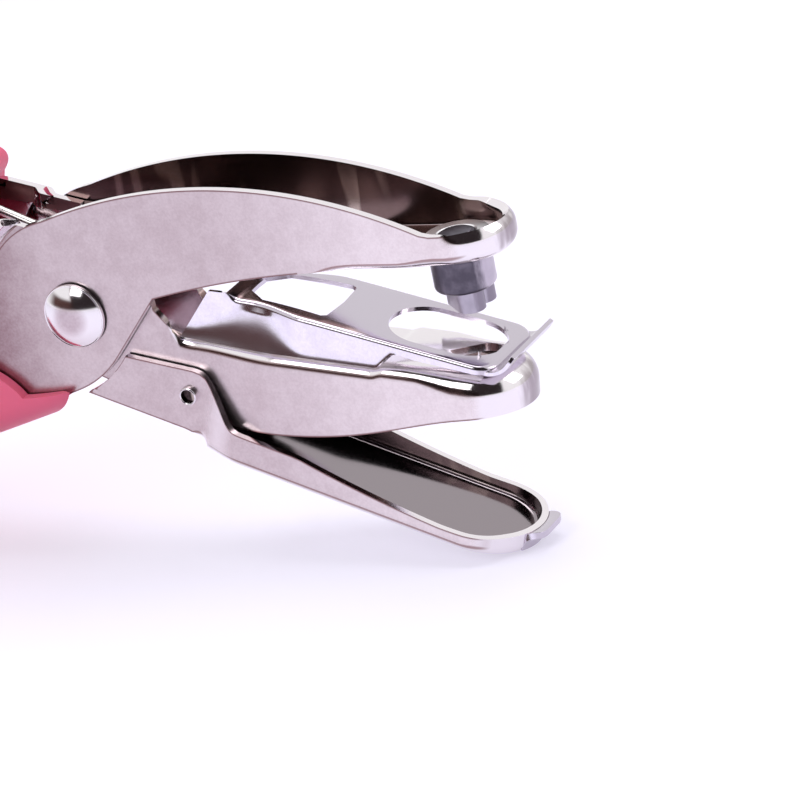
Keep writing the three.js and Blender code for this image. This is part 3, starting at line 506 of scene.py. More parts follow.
def sheetSkin(shape):
    # A folded channel as one skin. Columns run round its plan, rows run from the walls' free edge,
    # along the wall, round the bend and across the web. A point stands at centre + out * direction,
    # with out = half - inset, so the web closes on its middle line and a round end on its centre.
    # The rim value is how far a point lies below the nearest free edge, in millimetres.
    sides, noseX, tailX = shape["stations"], shape["noseX"], shape.get("tailX")
    still = 0 * sides
    turn = np.radians(np.linspace(90, -90, 41))[1:-1]
    runs = [(sides[::-1], still, still + 1), (noseX + 0 * turn, np.cos(turn), np.sin(turn)),
            (sides, still, still - 1)]
    closed = tailX is not None
    if closed:
        turn = np.radians(np.linspace(-90, -270, 31))[1:-1]
        runs.append((tailX + 0 * turn, np.cos(turn), np.sin(turn)))
    cx, dx, dy = (np.concatenate(part) for part in zip(*runs))
    reach = cx + shape["halfAt"](cx, 0 * cx) * dx
    edge, web, hasWeb = shape["edgeAt"](reach), shape["webAt"](reach), shape["hasWeb"](cx)
    side = np.sign(web - edge)

    # the wall, straight up to the bend; the first step leaves room for the rounded edge
    rows = np.append(0, np.linspace(0.15, 1, 12)[:-1])[:, None]
    bend = shape["bend"] + (shape["noseBend"] - shape["bend"]) * smooth((reach - noseX + 7) / 6)
    bendStart = web - side * bend
    wall = edge + rows * (bendStart - edge)
    roll = shape["roll"] * smooth((reach - noseX + 1) / 5)
    leanIn = roll * np.clip(1 - np.abs(wall - edge) / rollDepth, 0, 1) ** 2

    # the bend, a quarter circle that the ramp can flatten
    quarter = np.radians(np.linspace(0, 90, 10))[:, None]
    inset = bend * shape["rampAt"](cx) * (1 - np.cos(quarter))
    bendOut = shape["halfAt"](cx + 0 * quarter, bendStart + side * bend * np.sin(quarter)) - inset
    bent = shape["webAt"](cx + bendOut * dx) - side * bend * (1 - np.sin(quarter))
    out = np.concatenate([shape["halfAt"](cx + 0 * wall, wall) - leanIn, bendOut])
    height = np.concatenate([wall, bent])
    skin = np.stack([cx + out * dx, out * dy, height], -1)

    # the web, from the bends to the middle
    webOut = out[-1] * np.linspace(1, 0, 7)[:, None]
    webX = cx + webOut * dx
    webSkin = np.stack([webX, webOut * dy, shape["webAt"](webX)], -1)
    faces = [gridFaces(len(skin), len(cx), closed), gridFaces(len(webSkin), len(cx), closed, hasWeb)]
    if side[0] > 0:
        faces = [quads[:, ::-1] for quads in faces]
    rim = np.minimum(np.abs(height - edge), np.abs(height - web) + farFromEdge * hasWeb)
    rim = np.concatenate([rim.ravel(), np.full(webX.size, farFromEdge)])
    return [(skin, faces[0]), (webSkin, faces[1])], rim


def sheetPiece(name, shape, origin, turn, cutters, outer, inner):
    # the skin thickened to a sheet, cut, and with its edges rounded
    skins, rim = sheetSkin(shape)
    parts = [(settle(points, origin, turn), faces) for points, faces in skins]
    piece = addObject(name, makeMesh(name, parts, orient=False, rim=rim))
    giveMaterials(piece, outer, inner)
    thicken(piece, shape["sheet"])
    if cutters:
        carve(piece, cutters)
    softenEdges(piece, shape["edgeRound"])
    return piece


# the handles, and the vinyl over them
handles = {"end": -79.0, "sheath": 1.8, "depth": 9.4, "tailDepth": 7.6}

# the punch lever: upper jaw open at the top, and lower handle
punchLeverShape = {
    "sheet": 1.1, "bend": 1.2, "noseBend": 2.0, "edgeRound": 0.34, "half": 7.0, "roll": 0.7,
    "noseX": 56.0, "tailX": -72.0, "underside": 5.7, "levelX": 44.0, "throat": (12.2, 2.0),
    "crown": (22.0, -57.7, 75.0), "rim": 10.2, "hub": 13.5, "belly": (-7.5, 4.5, 16.4),
    "handle": (-2.4, -11.1), "slope": radians(18),
    "touch": -78.2,  # where the lower grip meets the table
    "tailLift": 0.55 * (1 - np.sqrt(0.75)),  # how much of its half depth the grip's round end lifts there
}


def handleDepth(x, p=handles):
    # deep at the pivot, easing off to the tail
    return p["depth"] + (p["tailDepth"] - p["depth"]) * smooth(x / p["end"])


def tailCamber(p=punchLeverShape):
    # the bend that brings the grip's tail down to the table: (run tan(slope) - drop) / run^2
    run = p["handle"][0] - p["touch"]
    lift = p["tailLift"] * (handleDepth(p["touch"]) / 2 + handles["sheath"])
    drop = p["handle"][1] + pivotAt[2] * 1000 + lift - handles["sheath"]
    return (run * np.tan(p["slope"]) - drop) / run ** 2


handleCamber = tailCamber()


def lowerHandleBottom(x, p=punchLeverShape):
    # straight fall from the pivot, easing off with the square of the distance
    run = p["handle"][0] - x
    return p["handle"][1] - run * np.tan(p["slope"]) + handleCamber * run ** 2


def lowerHandleTop(x):
    # the bottom plus the handle's depth
    return lowerHandleBottom(x) + handleDepth(x)


def punchWeb(x, p=punchLeverShape):
    # underside of the punch lever: level nose, sag with the square of the distance, tangent to the belly's
    # circle, the circle itself, then the handle
    bx, bz, br = p["belly"]
    tx, tz = p["throat"]
    sag = (p["underside"] - tz) * (np.clip(p["levelX"] - x, 0, None) / (p["levelX"] - tx)) ** 2
    touch = np.arctan2(tz - bz, tx - bx) - np.arccos(br / np.hypot(tx - bx, tz - bz))
    px, pz = bx + br * np.cos(touch), bz + br * np.sin(touch)
    tangent = pz + (x - px) * (tz - pz) / (tx - px)
    ball = bz - np.sqrt(np.clip(br ** 2 - (x - bx) ** 2, 0, None))
    places = [x >= tx, x >= px, x >= p["handle"][0]]
    return np.select(places, [p["underside"] - sag, tangent, ball], lowerHandleBottom(x))


def punchEdge(x, p=punchLeverShape):
    # top edge: level nose rim, long round crown, round hub, then the handle's own edge
    cx, cz, cr = p["crown"]
    crown = cz + np.sqrt(np.clip(cr ** 2 - (x - cx) ** 2, 0, None))
    hub = np.sqrt(np.clip(p["hub"] ** 2 - x ** 2, 0, None))
    handle = lowerHandleTop(x)
    heights = [np.maximum(crown, p["rim"]), np.maximum(hub, handle)]
    return np.select([x > -2.2, x > -p["hub"]], heights, handle)


floorX = 36.0  # the upper jaw has a floor in front of this, with a round rear edge
hubSteps = -punchLeverShape["hub"] * np.cos(np.radians(np.linspace(78, 0, 16)))
punchLeverShape |= {
    "stations": np.concatenate([
        stations(56, (44, 9), (floorX, 8), (12.2, 19), (4.9, 7), (-2.4, 8)),
        hubSteps, stations(-13.62, (-72, 29))]),
    "halfAt": lambda x, z: punchLeverShape["half"] + 0 * x,
    "edgeAt": punchEdge,
    "webAt": punchWeb,
    "rampAt": lambda x: smooth((x - floorX) / 8) + smooth((-6 - x) / 3),
    "hasWeb": lambda x: (x >= floorX - 0.01) | (x <= -9),
}
floorEdge = cutterFrom(arc(floorX, 0, 5.88, 0, 360, 48)[:-1], 2, 9, pivotAt)
punchLever = sheetPiece("punch_lever_sheet", punchLeverShape, pivotAt, 0.0, [floorEdge],
                        nickelRimmed, nickelInner)
finishPiece(punchLever, "punch_side", "nickel_steel", None, "punch_lever")

# the die lever: lower jaw with its web on top, and upper handle; drawn with the jaws shut
dieLeverShape = {
    "sheet": 1.1, "bend": 2.0, "noseBend": 3.4, "edgeRound": 0.2, "roll": 0.0,
    "noseX": 56.0, "tailX": -72.0, "face": -1.55, "step": 0.5, "stepX": 43.0, "stepLength": 1.8,
    "plateHalf": 5.6, "noseHalf": 7.2, "handleHalf": 7.0, "flareX": 17.0, "flareLength": 12.0,
    "plate": 11.0, "plateFront": 10.9, "heel": 8.2, "webStart": 14.5, "tongue": -3.8,
    "handle": (-10.3, 11.5), "slope": radians(7.3), "camber": 0.0008, "joggle": 14.1,
    "pin": (15.95, -9.75),
    "belly": ((64.2, -6.9), (50, -7.2), (45, -13.2), (27, -13.7)),
}


def dieHalf(x, z, p=dieLeverShape):
    # narrow round the pivot, wider at the nose, and stepped out to the handle outside the punch lever's hub
    jaw = (p["noseHalf"] - p["plateHalf"]) * smooth((x - p["flareX"]) / p["flareLength"])
    handle = (p["handleHalf"] - p["plateHalf"]) * smooth((np.hypot(x, z) - p["joggle"]) / 1.4) * (x < 0)
    return p["plateHalf"] + jaw + handle


def upperHandleTop(x, p=dieLeverShape):
    # straight rise from the pivot, bent down with the square of the distance
    run = p["handle"][0] - x
    return p["handle"][1] + run * np.tan(p["slope"]) - p["camber"] * run * np.abs(run)


def upperHandleBottom(x):
    # the top less the handle's depth
    return upperHandleTop(x) - handleDepth(x)


def dieWeb(x, p=dieLeverShape):
    # top of the die lever: die, step, web, front of the plates, round plates, handle
    jaw = p["face"] - p["step"] * (1 - smooth((x - p["stepX"]) / p["stepLength"]))
    rise = np.interp(x, [p["plateFront"], p["webStart"]], [1.5, p["face"] - p["step"]])
    plate = np.sqrt(np.clip(p["plate"] ** 2 - x ** 2, 0, None))
    places = [x >= p["webStart"], x > p["plateFront"], x > p["tongue"]]
    return np.select(places, [jaw, rise, plate], upperHandleTop(x))


def bezierAt(x, points):
    # height of a cubic Bezier curve where it passes x
    t = np.linspace(0, 1, 200)
    weights = [(1 - t) ** 3, 3 * t * (1 - t) ** 2, 3 * t ** 2 * (1 - t), t ** 3]
    curve = sum(weight[:, None] * np.array(point, float) for weight, point in zip(weights, points))
    return np.interp(x, curve[::-1, 0], curve[::-1, 1])


def dieEdge(x, p=dieLeverShape):
    # lower edge: jaw belly, plate heel round the tray pin, tangent to the pivot's disc, handle's edge
    hx, hz = p["pin"][0] - 1.9, p["pin"][1] - 3.7
    touch = np.arctan2(hz, hx) - np.arccos(p["heel"] / np.hypot(hx, hz))
    tx, tz = p["heel"] * np.cos(touch), p["heel"] * np.sin(touch)
    tangent = tz + (x - tx) * (hz - tz) / (hx - tx)
    disc = -np.sqrt(np.clip(p["heel"] ** 2 - x ** 2, 0, None))
    low = p["pin"][1] - 4.3
    bellyX, bellyZ = p["belly"][3]
    heel = np.interp(x, [hx, hx + 1.9, p["pin"][0] + 4, bellyX], [hz, low, low, bellyZ])
    places = [x >= bellyX, x >= hx, x >= tx, x > -p["heel"]]
    return np.select(places, [bezierAt(x, p["belly"]), heel, tangent, disc], upperHandleBottom(x))


plateSteps = dieLeverShape["plateFront"] * np.cos(np.radians(np.linspace(8, 100, 20)))
heelSteps = -dieLeverShape["heel"] * np.cos(np.radians(np.linspace(70, 0, 12)))[2:]
dieLeverShape |= {
    "stations": np.concatenate([
        stations(56, (44.8, 7), (43, 5), (27, 15), (14.5, 13)), stations(14.1, (10.9, 5)),
        plateSteps, heelSteps, stations(-8.35, (-18, 21), (-72, 25))]),
    "halfAt": dieHalf,
    "edgeAt": dieEdge,
    "webAt": dieWeb,
    "rampAt": lambda x: smooth((x - 13) / 2.5) + smooth((-17 - x) / 3),
    "hasWeb": lambda x: (x >= dieLeverShape["webStart"] - 0.01) | (x <= dieLeverShape["tongue"]),
}


def heartOutline(x, grow, lobe=1.85, offset=1.6, lobeX=1.05, point=3.2):
    # two round lobes towards the nose, tangent lines to a point towards the pivot
    r = lobe + grow
    px = -point - grow * np.sqrt(2)
    flank = np.arctan2(-offset, lobeX - px) - np.arcsin(r / np.hypot(lobeX - px, offset))
    touch = np.degrees(flank) - 90
    notch = np.degrees(np.arccos(np.sqrt(r ** 2 - offset ** 2) / r))
    near = arc(x + lobeX, -offset, r, touch, notch, 18)
    far = arc(x + lobeX, offset, r, -notch, -touch, 18)[1:]
    return np.concatenate([[[x + px, 0]], near, far])


punchReach = 55.0
opening = {"back": -18.5, "round": 2.0, "height": 9.4}  # the upper handle is open on top back to its grip


def handleOpening(p=opening):
    # runs between the inner faces of the walls, from the pivot's plates back to a round end
    x = np.linspace(5, p["back"], 60)
    inner = dieHalf(x, p["height"]) - dieLeverShape["sheet"] + 0.03
    back = np.radians(np.linspace(0, 180, 15))[1:-1]
    end = np.stack([p["back"] - p["round"] * np.sin(back), inner[-1] * np.cos(back)], 1)
    return np.concatenate([np.stack([x, inner], 1), end, np.stack([x, -inner], 1)[::-1]])


dieHole = cutterFrom(heartOutline(punchReach, 0.3), -5, 1, pivotAt, jawTurn)
webOpening = cutterFrom(handleOpening(), opening["height"], 20, pivotAt, jawTurn)
dieCutters = [dieHole, webOpening]
dieLever = sheetPiece("die_lever_sheet", dieLeverShape, pivotAt, jawTurn, dieCutters,
                      nickelRimmed, nickelInner)
giveMaterials(dieLever, nickelBright, nickelThroat)
for face in dieLever.data.polygons:
    ahead = (face.center[0] - pivotAt[0]) * 1000
    if face.material_index == 1 and ahead < 18:
        face.material_index = 2  # bright inside, round the pivot
    if face.material_index == 0 and 9.5 < ahead < 14.5 and face.normal[0] > 0.5:
        face.material_index = 3  # painted shade and painted reflections where the jaw's throat looks at the nose
finishPiece(dieLever, "die_side", "nickel_steel", None, "die_lever")
print("levers made")

# the stripper plate: a U of thin sheet, with a window, a slot for the punch and a rail round its nose
stripper = {
    "sheet": 0.6, "bend": 0.65, "edgeRound": 0.1, "half": 5.55, "noseHalf": 7.2, "flareX": 26.0,
    "flareLength": 8.0, "cornerX": 57.7, "corner": 3.0, "rear": 19.5, "heel": 4.6, "footFlare": 0.16,
    "planeX": 45.4, "planeZ": 2.11, "slope": radians(8.35), "bendX": 36.0, "curve": 0.0053,
    "earEnd": 22.1, "earRise": 0.75, "foot": -1.75, "flangeEnd": 44.2, "railX": 47.2, "railFoot": -0.95,
    "windowRear": 24.2, "windowWide": 26.8, "windowFront": 36.5, "windowRearHalf": 2.2, "windowHalf": 5.0,
    "slotRear": 43.4, "slotHalf": 5.3, "slotFront": 59.4,
    "lipRadius": 3.4, "lipTurn": 58, "lipCorner": 0.7,
}


def stripperTop(x, p=stripper):
    # a sloping plane that curves down behind its middle with the square of the distance
    sag = p["curve"] * np.clip(p["bendX"] - x, 0, None) ** 2
    return p["planeZ"] - (x - p["planeX"]) * np.tan(p["slope"]) - sag


def stripperHalf(x, p=stripper):
    # narrow at the rear, easing out to the nose
    return p["half"] + (p["noseHalf"] - p["half"]) * smooth((x - p["flareX"]) / p["flareLength"])


def openHalf(x, p=stripper):
    # half width of the window, from corner to corner, and of the slot, which is a stadium
    front, wide = p["windowFront"], p["windowHalf"]
    corners = [(p["windowRear"] - 0.1, 0), (p["windowRear"], p["windowRearHalf"]),
               (p["windowWide"], wide - 0.7), (front - 1, wide), (front - 0.3, wide - 0.5), (front, 0)]
    window = np.interp(x, *np.array(corners).T)
    rear, nose = p["slotRear"] + p["slotHalf"], p["slotFront"] - p["slotHalf"]
    past = np.maximum(rear - x, 0) + np.maximum(x - nose, 0)
    slot = np.sqrt(np.clip(p["slotHalf"] ** 2 - past ** 2, 0, None))
    return np.where(x < 40, window, slot)


def stripperEdge(x, p=stripper):
    # foot of the side flanges, then the slanted step up to the thin rail
    rail = stripperTop(p["railX"])
    points = [(p["flangeEnd"], p["foot"]), (p["railX"] - 1, rail - 1.6), (p["railX"], rail - 1.3),
              (p["railX"] + 2, stripperTop(p["railX"] + 2) - 1.5), (58.4, p["railFoot"])]
    return np.interp(x, *np.array(points).T)


def stripperPlan(p=stripper):
    # centres and directions of the columns: along the far side, round the nose, along the near side
    past = np.radians(np.linspace(4, 86, 12))
    slotRound = p["slotRear"] + p["slotHalf"] * (1 - np.cos(past))
    side = np.concatenate([
        stations(p["rear"], (p["earEnd"], 3), (23.6, 3)), [24.1], stations(24.2, (26.8, 4), (35.5, 13)),
        [36.2, 36.5, 38, 40, 42, p["slotRear"]], slotRound, stations(48.8, (54.1, 7), (p["cornerX"], 6))])
    across = p["noseHalf"] - p["corner"]
    turn = np.radians(np.linspace(90, 0, 13))[1:]
    front = np.linspace(across, -across, 15)[1:-1]
    nose, c, s = p["cornerX"], np.cos(turn), np.sin(turn)
    runs = [(side, 0, 0, 1), (nose, across, c, s), (nose, front, 1, 0), (nose, -across, c[::-1], -s[::-1]),
            (side[::-1], 0, 0, -1)]
    cx, cy, dx, dy = np.concatenate([np.stack(np.broadcast_arrays(*run)) for run in runs], 1).astype(float)
    onSide = dx == 0
    dy[onSide] = np.sign(dy[onSide])
    return cx, cy, dx, dy, onSide


def stripperSkin(p=stripper):
    # As sheetSkin: point = centre + out * direction, from the flange's foot up the wall, round the bend and
    # inwards to the window or the slot. A column's inner end is where its line meets the slot's round end.
    cx, cy, dx, dy, onSide = stripperPlan(p)
    half = np.where(onSide, stripperHalf(cx), p["corner"])
    bx = cx - p["slotFront"] + p["slotHalf"]
    along = bx * dx + cy * dy
    reach = -along + np.sqrt(np.clip(along ** 2 - bx ** 2 - cy ** 2 + p["slotHalf"] ** 2, 0, None))
    inner = np.where(onSide, openHalf(cx), reach)
    lift = p["earRise"] * (1 - smooth((cx - p["earEnd"]) / 1.5))
    outer = cx + half * dx
    edge, top = stripperEdge(outer), stripperTop(outer) + lift

    # walls and bends
    grow = np.where(cx < 23.6, smooth((cx - 22) / 1.6), 1) * p["bend"]
    quarter = np.radians(np.linspace(0, 90, 7))[:, None]
    rows = np.linspace(0, 1, 14)[:-1, None]
    wall = edge + rows * (top - p["bend"] - edge)
    bendOut = half - grow * (1 - np.cos(quarter))
    bent = stripperTop(cx + bendOut * dx) + lift - p["bend"] * (1 - np.sin(quarter))
    height = np.concatenate([wall, bent])

    # the feet flare out to the die lever, and the rear edge leans back
    beside = onSide & (cx < p["railX"])
    flare = np.where(beside, p["footFlare"] + np.clip(dieHalf(cx, 0) - half, 0, None), 0)
    spread = flare * np.clip(1 - (wall - edge) / (0.01 + 5.6 * flare), 0, 1) ** 2
    out = np.concatenate([half + spread, bendOut])
    heel = p["heel"] * np.clip((26 - cx) / (26 - p["rear"]), 0, 1) * (top - height) / (top - edge)
    skin = np.stack([cx + out * dx - heel, cy + out * dy, height], -1)

    # the plate itself
    webOut = inner + (out[-1] - inner) * np.linspace(1, 0, 6)[:, None]
    webX = cx + webOut * dx
    webSkin = np.stack([webX, cy + webOut * dy, stripperTop(webX) + lift], -1)
    faces = gridFaces(len(skin), len(cx)), gridFaces(len(webSkin), len(cx), False, cx >= p["earEnd"])
    return [(skin, faces[0][:, ::-1]), (webSkin, faces[1][:, ::-1])]


def crossStrip(x, z, half, corner, length):
    # rows straight across at (x, z); the half width eases in over the last length as a quarter ellipse
    run = np.clip((x[-1] - x) / length, 0, 1)
    width = half - corner * (1 - np.sqrt(1 - (1 - run) ** 2))
    y = width[:, None] * np.linspace(-1, 1, 25)
    return np.stack([x[:, None] + 0 * y, y, z[:, None] + 0 * y], -1)


def stripPiece(name, points, origin, turn, shape, inwards=True):
    # a curled strip, thickened, with its edges rounded
    skin = [(settle(points, origin, turn), gridFaces(*points.shape[:2]))]
    piece = addObject(name, makeMesh(name, skin, orient=False))
    giveMaterials(piece, nickelStrip, nickelStrip)
    thicken(piece, shape["sheet"], inwards)
    softenEdges(piece, shape["edgeRound"])
    return piece


def stripperLip(p=stripper):
    # the front lip curls up along an arc and ends straight
    start, radius = p["slotFront"] - 0.4, p["lipRadius"]
    angle = np.radians(np.linspace(0, p["lipTurn"], 16))[1:]
    x = np.concatenate([[start - 0.5, start, start + 0.6], start + 0.6 + radius * np.sin(angle)])
    rise = np.concatenate([[0.1, 0, -0.1], radius * (1 - np.cos(angle)) - 0.1])
    z = stripperTop(start) - p["sheet"] + rise
    tail = np.array([0.3, 0.6, 0.85, 1.0, 1.1])
    x = np.append(x, x[-1] + tail * np.cos(angle[-1]))
    z = np.append(z, z[-1] + tail * np.sin(angle[-1]))
    return crossStrip(x, z, p["noseHalf"] - 0.5, p["lipCorner"], p["lipCorner"])


def farFlangeCut(p=stripper):
    # all of the far flange behind the rail, from just under the plate
    x = np.linspace(12, p["railX"] - 0.2, 30)
    return np.concatenate([np.stack([x, stripperTop(x) - 0.62], 1), [[x[-1], -6], [x[0], -6]]])


parts = [(settle(points, pivotAt, jawTurn), faces) for points, faces in stripperSkin()]
stripperPlate = addObject("stripper_sheet", makeMesh("stripper_sheet", parts, orient=False))
# the stripper's inside faces take the painted light
giveMaterials(stripperPlate, nickelStrip, nickelPaintedLight)
thicken(stripperPlate, stripper["sheet"], even=False)
carve(stripperPlate, [cutterFrom(farFlangeCut(), 3.5, 9, pivotAt, jawTurn, "y")])
softenEdges(stripperPlate, stripper["edgeRound"])
lip = stripPiece("stripper_lip", stripperLip(), pivotAt, jawTurn, stripper, inwards=False)
finishPiece(stripperPlate, "die_side", "nickel_steel", None, "stripper_plate")
finishPiece(lip, "die_side", "nickel_steel", None)

# the chip tray: an open trough with ears round the punch lever's plate; drawn with its floor level
tray = {
    "sheet": 0.9, "bend": 1.6, "noseBend": 1.6, "edgeRound": 0.12, "roll": 0.0, "noseX": 41.1, "half": 8.4,
    "earHalf": 6.8, "earRear": -16.4, "earLow": -5.2, "floor": -7.2, "floorRear": 3.6, "wallTop": -2.35,
    "noseTop": -4.7, "tabHalf": 3.9, "tabCorner": 2.0,
}


def trayTop(x, p=tray):
    # ears that rise round the pin, then the wall's edge sloping down to the nose
    ear = [(-11.4, 2), (0, 3.7), (1.0, 3.65), (1.9, 3.3), (2.6, 2.6), (5.6, -1.1), (6.2, -1.75),
           (6.9, -2.2), (7.6, p["wallTop"]), (17, p["wallTop"])]
    noseX, low = p["noseX"], p["noseTop"]
    rim = quadCurve((noseX - 24, p["wallTop"]), ((noseX - 14, low + 0.6), (noseX - 3, low)),
                    ((noseX + 2, low), (noseX + 5.9, low + 0.7)), (noseX + 9.4, low + 1), steps=59)
    return np.where(x < 17, np.interp(x, *np.array(ear).T), np.interp(x, *rim.T))


def trayBottom(x, p=tray):
    # the ears' lower edge, stepping down to the floor
    low = p["earLow"]
    points = [(0.4, low), (1.6, low - 0.25), (2.3, low - 0.55), (3.0, low - 0.9),
              (p["floorRear"], p["floor"])]
    return np.interp(x, *np.array(points).T)


def trayHalf(x, z, p=tray):
    # narrow at the ears, easing out to the trough
    return p["earHalf"] + (p["half"] - p["earHalf"]) * smooth((x - 1.5) / 7.5) + 0 * z


tray |= {
    "stations": np.concatenate([stations(tray["noseX"], (30, 11), (9, 17), (tray["floorRear"], 11)),
                                stations(3.59, (-2, 13), (tray["earRear"], 11))]),
    "halfAt": trayHalf,
    "edgeAt": trayTop,
    "webAt": trayBottom,
    "rampAt": lambda x: smooth((x - 0.8) / 2.8),
    "hasWeb": lambda x: x >= tray["floorRear"],
}
belly = cutterFrom(arc(-7.5, 4.5, 17.2, 0, 360, 120)[:-1], -20, 20, pivotAt, 0.0, "y")
chipTray = sheetPiece("chip_tray_sheet", tray, pinAt, trayTurn, [belly], nickelRimmed, nickelTray)
finishPiece(chipTray, "tray", "nickel_steel", None, "chip_tray")


def trayTab(p=tray):
    # thumb tab: rises from the nose's rim, bowed as the rim is, and curls outwards
    wall, foot = p["noseX"] + p["half"], p["noseTop"] - 1.2
    curl = quadCurve((wall - 0.02, foot - 0.6), (wall, foot),
                     ((wall + 0.2, foot + 1.6), (wall + 1.6, foot + 1.9)), steps=13)
    points = crossStrip(curl[:, 0], curl[:, 1], p["tabHalf"], p["tabCorner"], 2.0)
    bow = np.sqrt(p["half"] ** 2 - np.clip(points[..., 1], -8, 8) ** 2) - p["half"]
    points[..., 0] += bow * (1 - smooth((points[..., 0] - wall) / 1.6))
    return points


tab = stripPiece("chip_tray_tab", trayTab(), pinAt, trayTurn, tray)
finishPiece(tab, "tray", "nickel_steel", None)
print("sheets made")


def latheY(name, profile, steps, at):
    # radius and distance along the pivot's direction, turned about that direction
    points, faces = latheMesh(profile, steps)
    return addObject(name, makeMesh(name, [(points[..., [0, 2, 1]] / 1000 + at, faces)]))


def latheZ(name, profile, steps):
    # radius and height, turned about the punch's upright axis
    points, faces = latheMesh(profile, steps)
    return addObject(name, makeMesh(name, [(settle(points + [punchReach, 0, 0], pivotAt), faces)]))


def mirrored(half):
    # a profile from the far end to the middle, then back out to the near end
    half = np.asarray(half, float)
    return np.concatenate([half, (half * [1, -1])[::-1]])


rivet = {"shank": 2.4, "head": 4.5, "dome": 1.5, "seat": 7.3, "rim": 0.35, "rolled": 0.3}


def rivetProfile(p=rivet):
    # shallow dome of radius (head^2 + dome^2) / (2 dome) on a short rim with a rolled edge
    radius = (p["head"] ** 2 + p["dome"] ** 2) / (2 * p["dome"])
    sweep = np.linspace(0, np.arcsin(p["head"] / radius) * 0.94, 26)
    centre = p["seat"] + p["rim"] + p["dome"] - radius
    dome = np.stack([radius * np.sin(sweep), centre + radius * np.cos(sweep)], 1)
    dome[0, 0] = 0
    edge = np.linspace(0.35, 1, 6)[:, None] * np.pi / 2
    corner = [p["head"] - p["rolled"], p["seat"] + p["rolled"]]
    rolled = corner + p["rolled"] * np.hstack([np.sin(edge), np.cos(edge)])
    neck = [[p["head"], p["seat"] + 0.02], [p["shank"], p["seat"]], [p["shank"], 0.5]]
    return mirrored(np.concatenate([dome, rolled, neck]))


rivetPiece = latheY("pivot_rivet_turned", rivetProfile(), 96, pivotAt)
shadeByAngle(rivetPiece, 35)
finishPiece(rivetPiece, "die_side", "nickel_steel", nickelBright, "pivot_rivet")

# the tray pin is hollow at its ends, with a rolled rim round each bore
pinBore = 0.94
pinProfile = mirrored([[0, 6.9], [pinBore, 6.9], [pinBore, 7.3], [0.98, 7.42], [1.04, 7.48], [1.1, 7.5],
                       [1.17, 7.48], [1.24, 7.4], [1.28, 7.25], [1.28, 0.5]])
pinPiece = latheY("tray_pin_turned", pinProfile, 48, pinAt)
shadeByAngle(pinPiece, 50)
giveMaterials(pinPiece, nickelBright, nickelBore)
# painted shade: the faces inside the bore take the near-black material
for face in pinPiece.data.polygons:
    fromAxis = np.hypot(*(np.array(face.center) - pinAt)[[0, 2]]) * 1000
    face.material_index = int(fromAxis < pinBore + 0.01)
finishPiece(pinPiece, "die_side", "nickel_steel", None, "tray_pin")

punchSizes = {
    "tipEnd": -1.9, "tipLength": 2.6, "tipTop": 1.6, "collar": 4.1, "collarTop": 5.4, "collarEdge": 0.7,
    "shank": 2.4, "stub": 2.0, "stubAt": 8.1, "stubHeight": 0.25,
}


def punchBody(p=punchSizes):
    # collar with a rounded lower edge, shank through the floor and the washer, and a riveted stub
    low, high, stub, edge = p["tipEnd"] + p["tipLength"], p["collarTop"], p["stubAt"], p["collarEdge"]
    turn = np.radians(np.linspace(-90, 0, 9))
    collar = np.stack([p["collar"] - edge + edge * np.cos(turn), low + edge + edge * np.sin(turn)], 1)
    crown = np.radians(np.linspace(5, 90, 9))
    top = np.stack([p["stub"] * np.cos(crown), stub + 0.2 + (p["stubHeight"] - 0.2) * np.sin(crown)], 1)
    top[-1, 0] = 0
    shank = [[p["collar"], high - 0.2], [p["collar"] - 0.2, high], [p["shank"], high], [p["shank"], stub],
             [p["stub"], stub]]
    return np.concatenate([[[0, low]], collar, shank, top])


punchPiece = latheZ("heart_punch_turned", punchBody(), 96)
tip, tipFaces = prism(heartOutline(punchReach, 0), punchSizes["tipEnd"], punchSizes["tipTop"])
tipPiece = addObject("heart_tip", bpy.data.meshes.new("heart_tip"))
tipPiece.data.from_pydata(settle(tip, pivotAt).tolist(), [], tipFaces)
tidyMesh(tipPiece.data)
softenEdges(tipPiece, 0.06, 1, 30)
shadeByAngle(punchPiece, 35)
finishPiece(punchPiece, "punch_side", "tool_steel", toolSteel, "heart_punch")
finishPiece(tipPiece, "punch_side", "tool_steel", tipSteel)

washerProfile = [[2.6, 7.1], [4.25, 7.1], [4.4, 7.25], [4.4, 7.95], [4.25, 8.1], [2.75, 8.1], [2.6, 7.95],
                 [2.6, 7.1]]
washerPiece = latheZ("punch_washer_turned", washerProfile, 72)
shadeByAngle(washerPiece, 30)
# painted highlight: the washer takes the near-white copy of the plating
finishPiece(washerPiece, "punch_side", "nickel_steel", nickelPaintedLight, "punch_washer")

spring = {"wire": 0.65, "coil": 4.3, "turns": 3, "pitch": 1.6, "reach": 21.0, "clear": 1.02, "web": 1.1}


def springPath(p=spring):
    # straight leg, coil round the rivet, straight leg; the legs leave the coil along its tangents
    c, s = np.cos(jawTurn), np.sin(jawTurn)
    webZ = upperHandleTop(-p["reach"]) - p["web"]
    upper = np.array([-p["reach"] * c + webZ * s, webZ * c + p["reach"] * s - p["clear"]])
    lower = np.array([-p["reach"], lowerHandleBottom(-p["reach"]) + p["web"] * 1.05 + p["clear"]])
    leave = np.arctan2(upper[1], upper[0]) - np.arccos(p["coil"] / np.hypot(*upper)) + 2 * pi * p["turns"]
    arrive = np.arctan2(lower[1], lower[0]) + np.arccos(p["coil"] / np.hypot(*lower))
    angle = np.linspace(arrive, leave, 160)
    width = p["pitch"] * (leave - arrive) / (2 * pi)
    along = np.linspace(-0.5, 0.5, len(angle)) * width
    coil = np.stack([p["coil"] * np.cos(angle), along, p["coil"] * np.sin(angle)], 1)
    share = np.linspace(0, 1, 24)[:, None]
    first = np.insert(lower, 1, -width / 2) * (1 - share) + coil[0] * share
    last = coil[-1] * (1 - share) + np.insert(upper, 1, width / 2) * share
    return np.concatenate([first[:-1], coil, last[1:]])


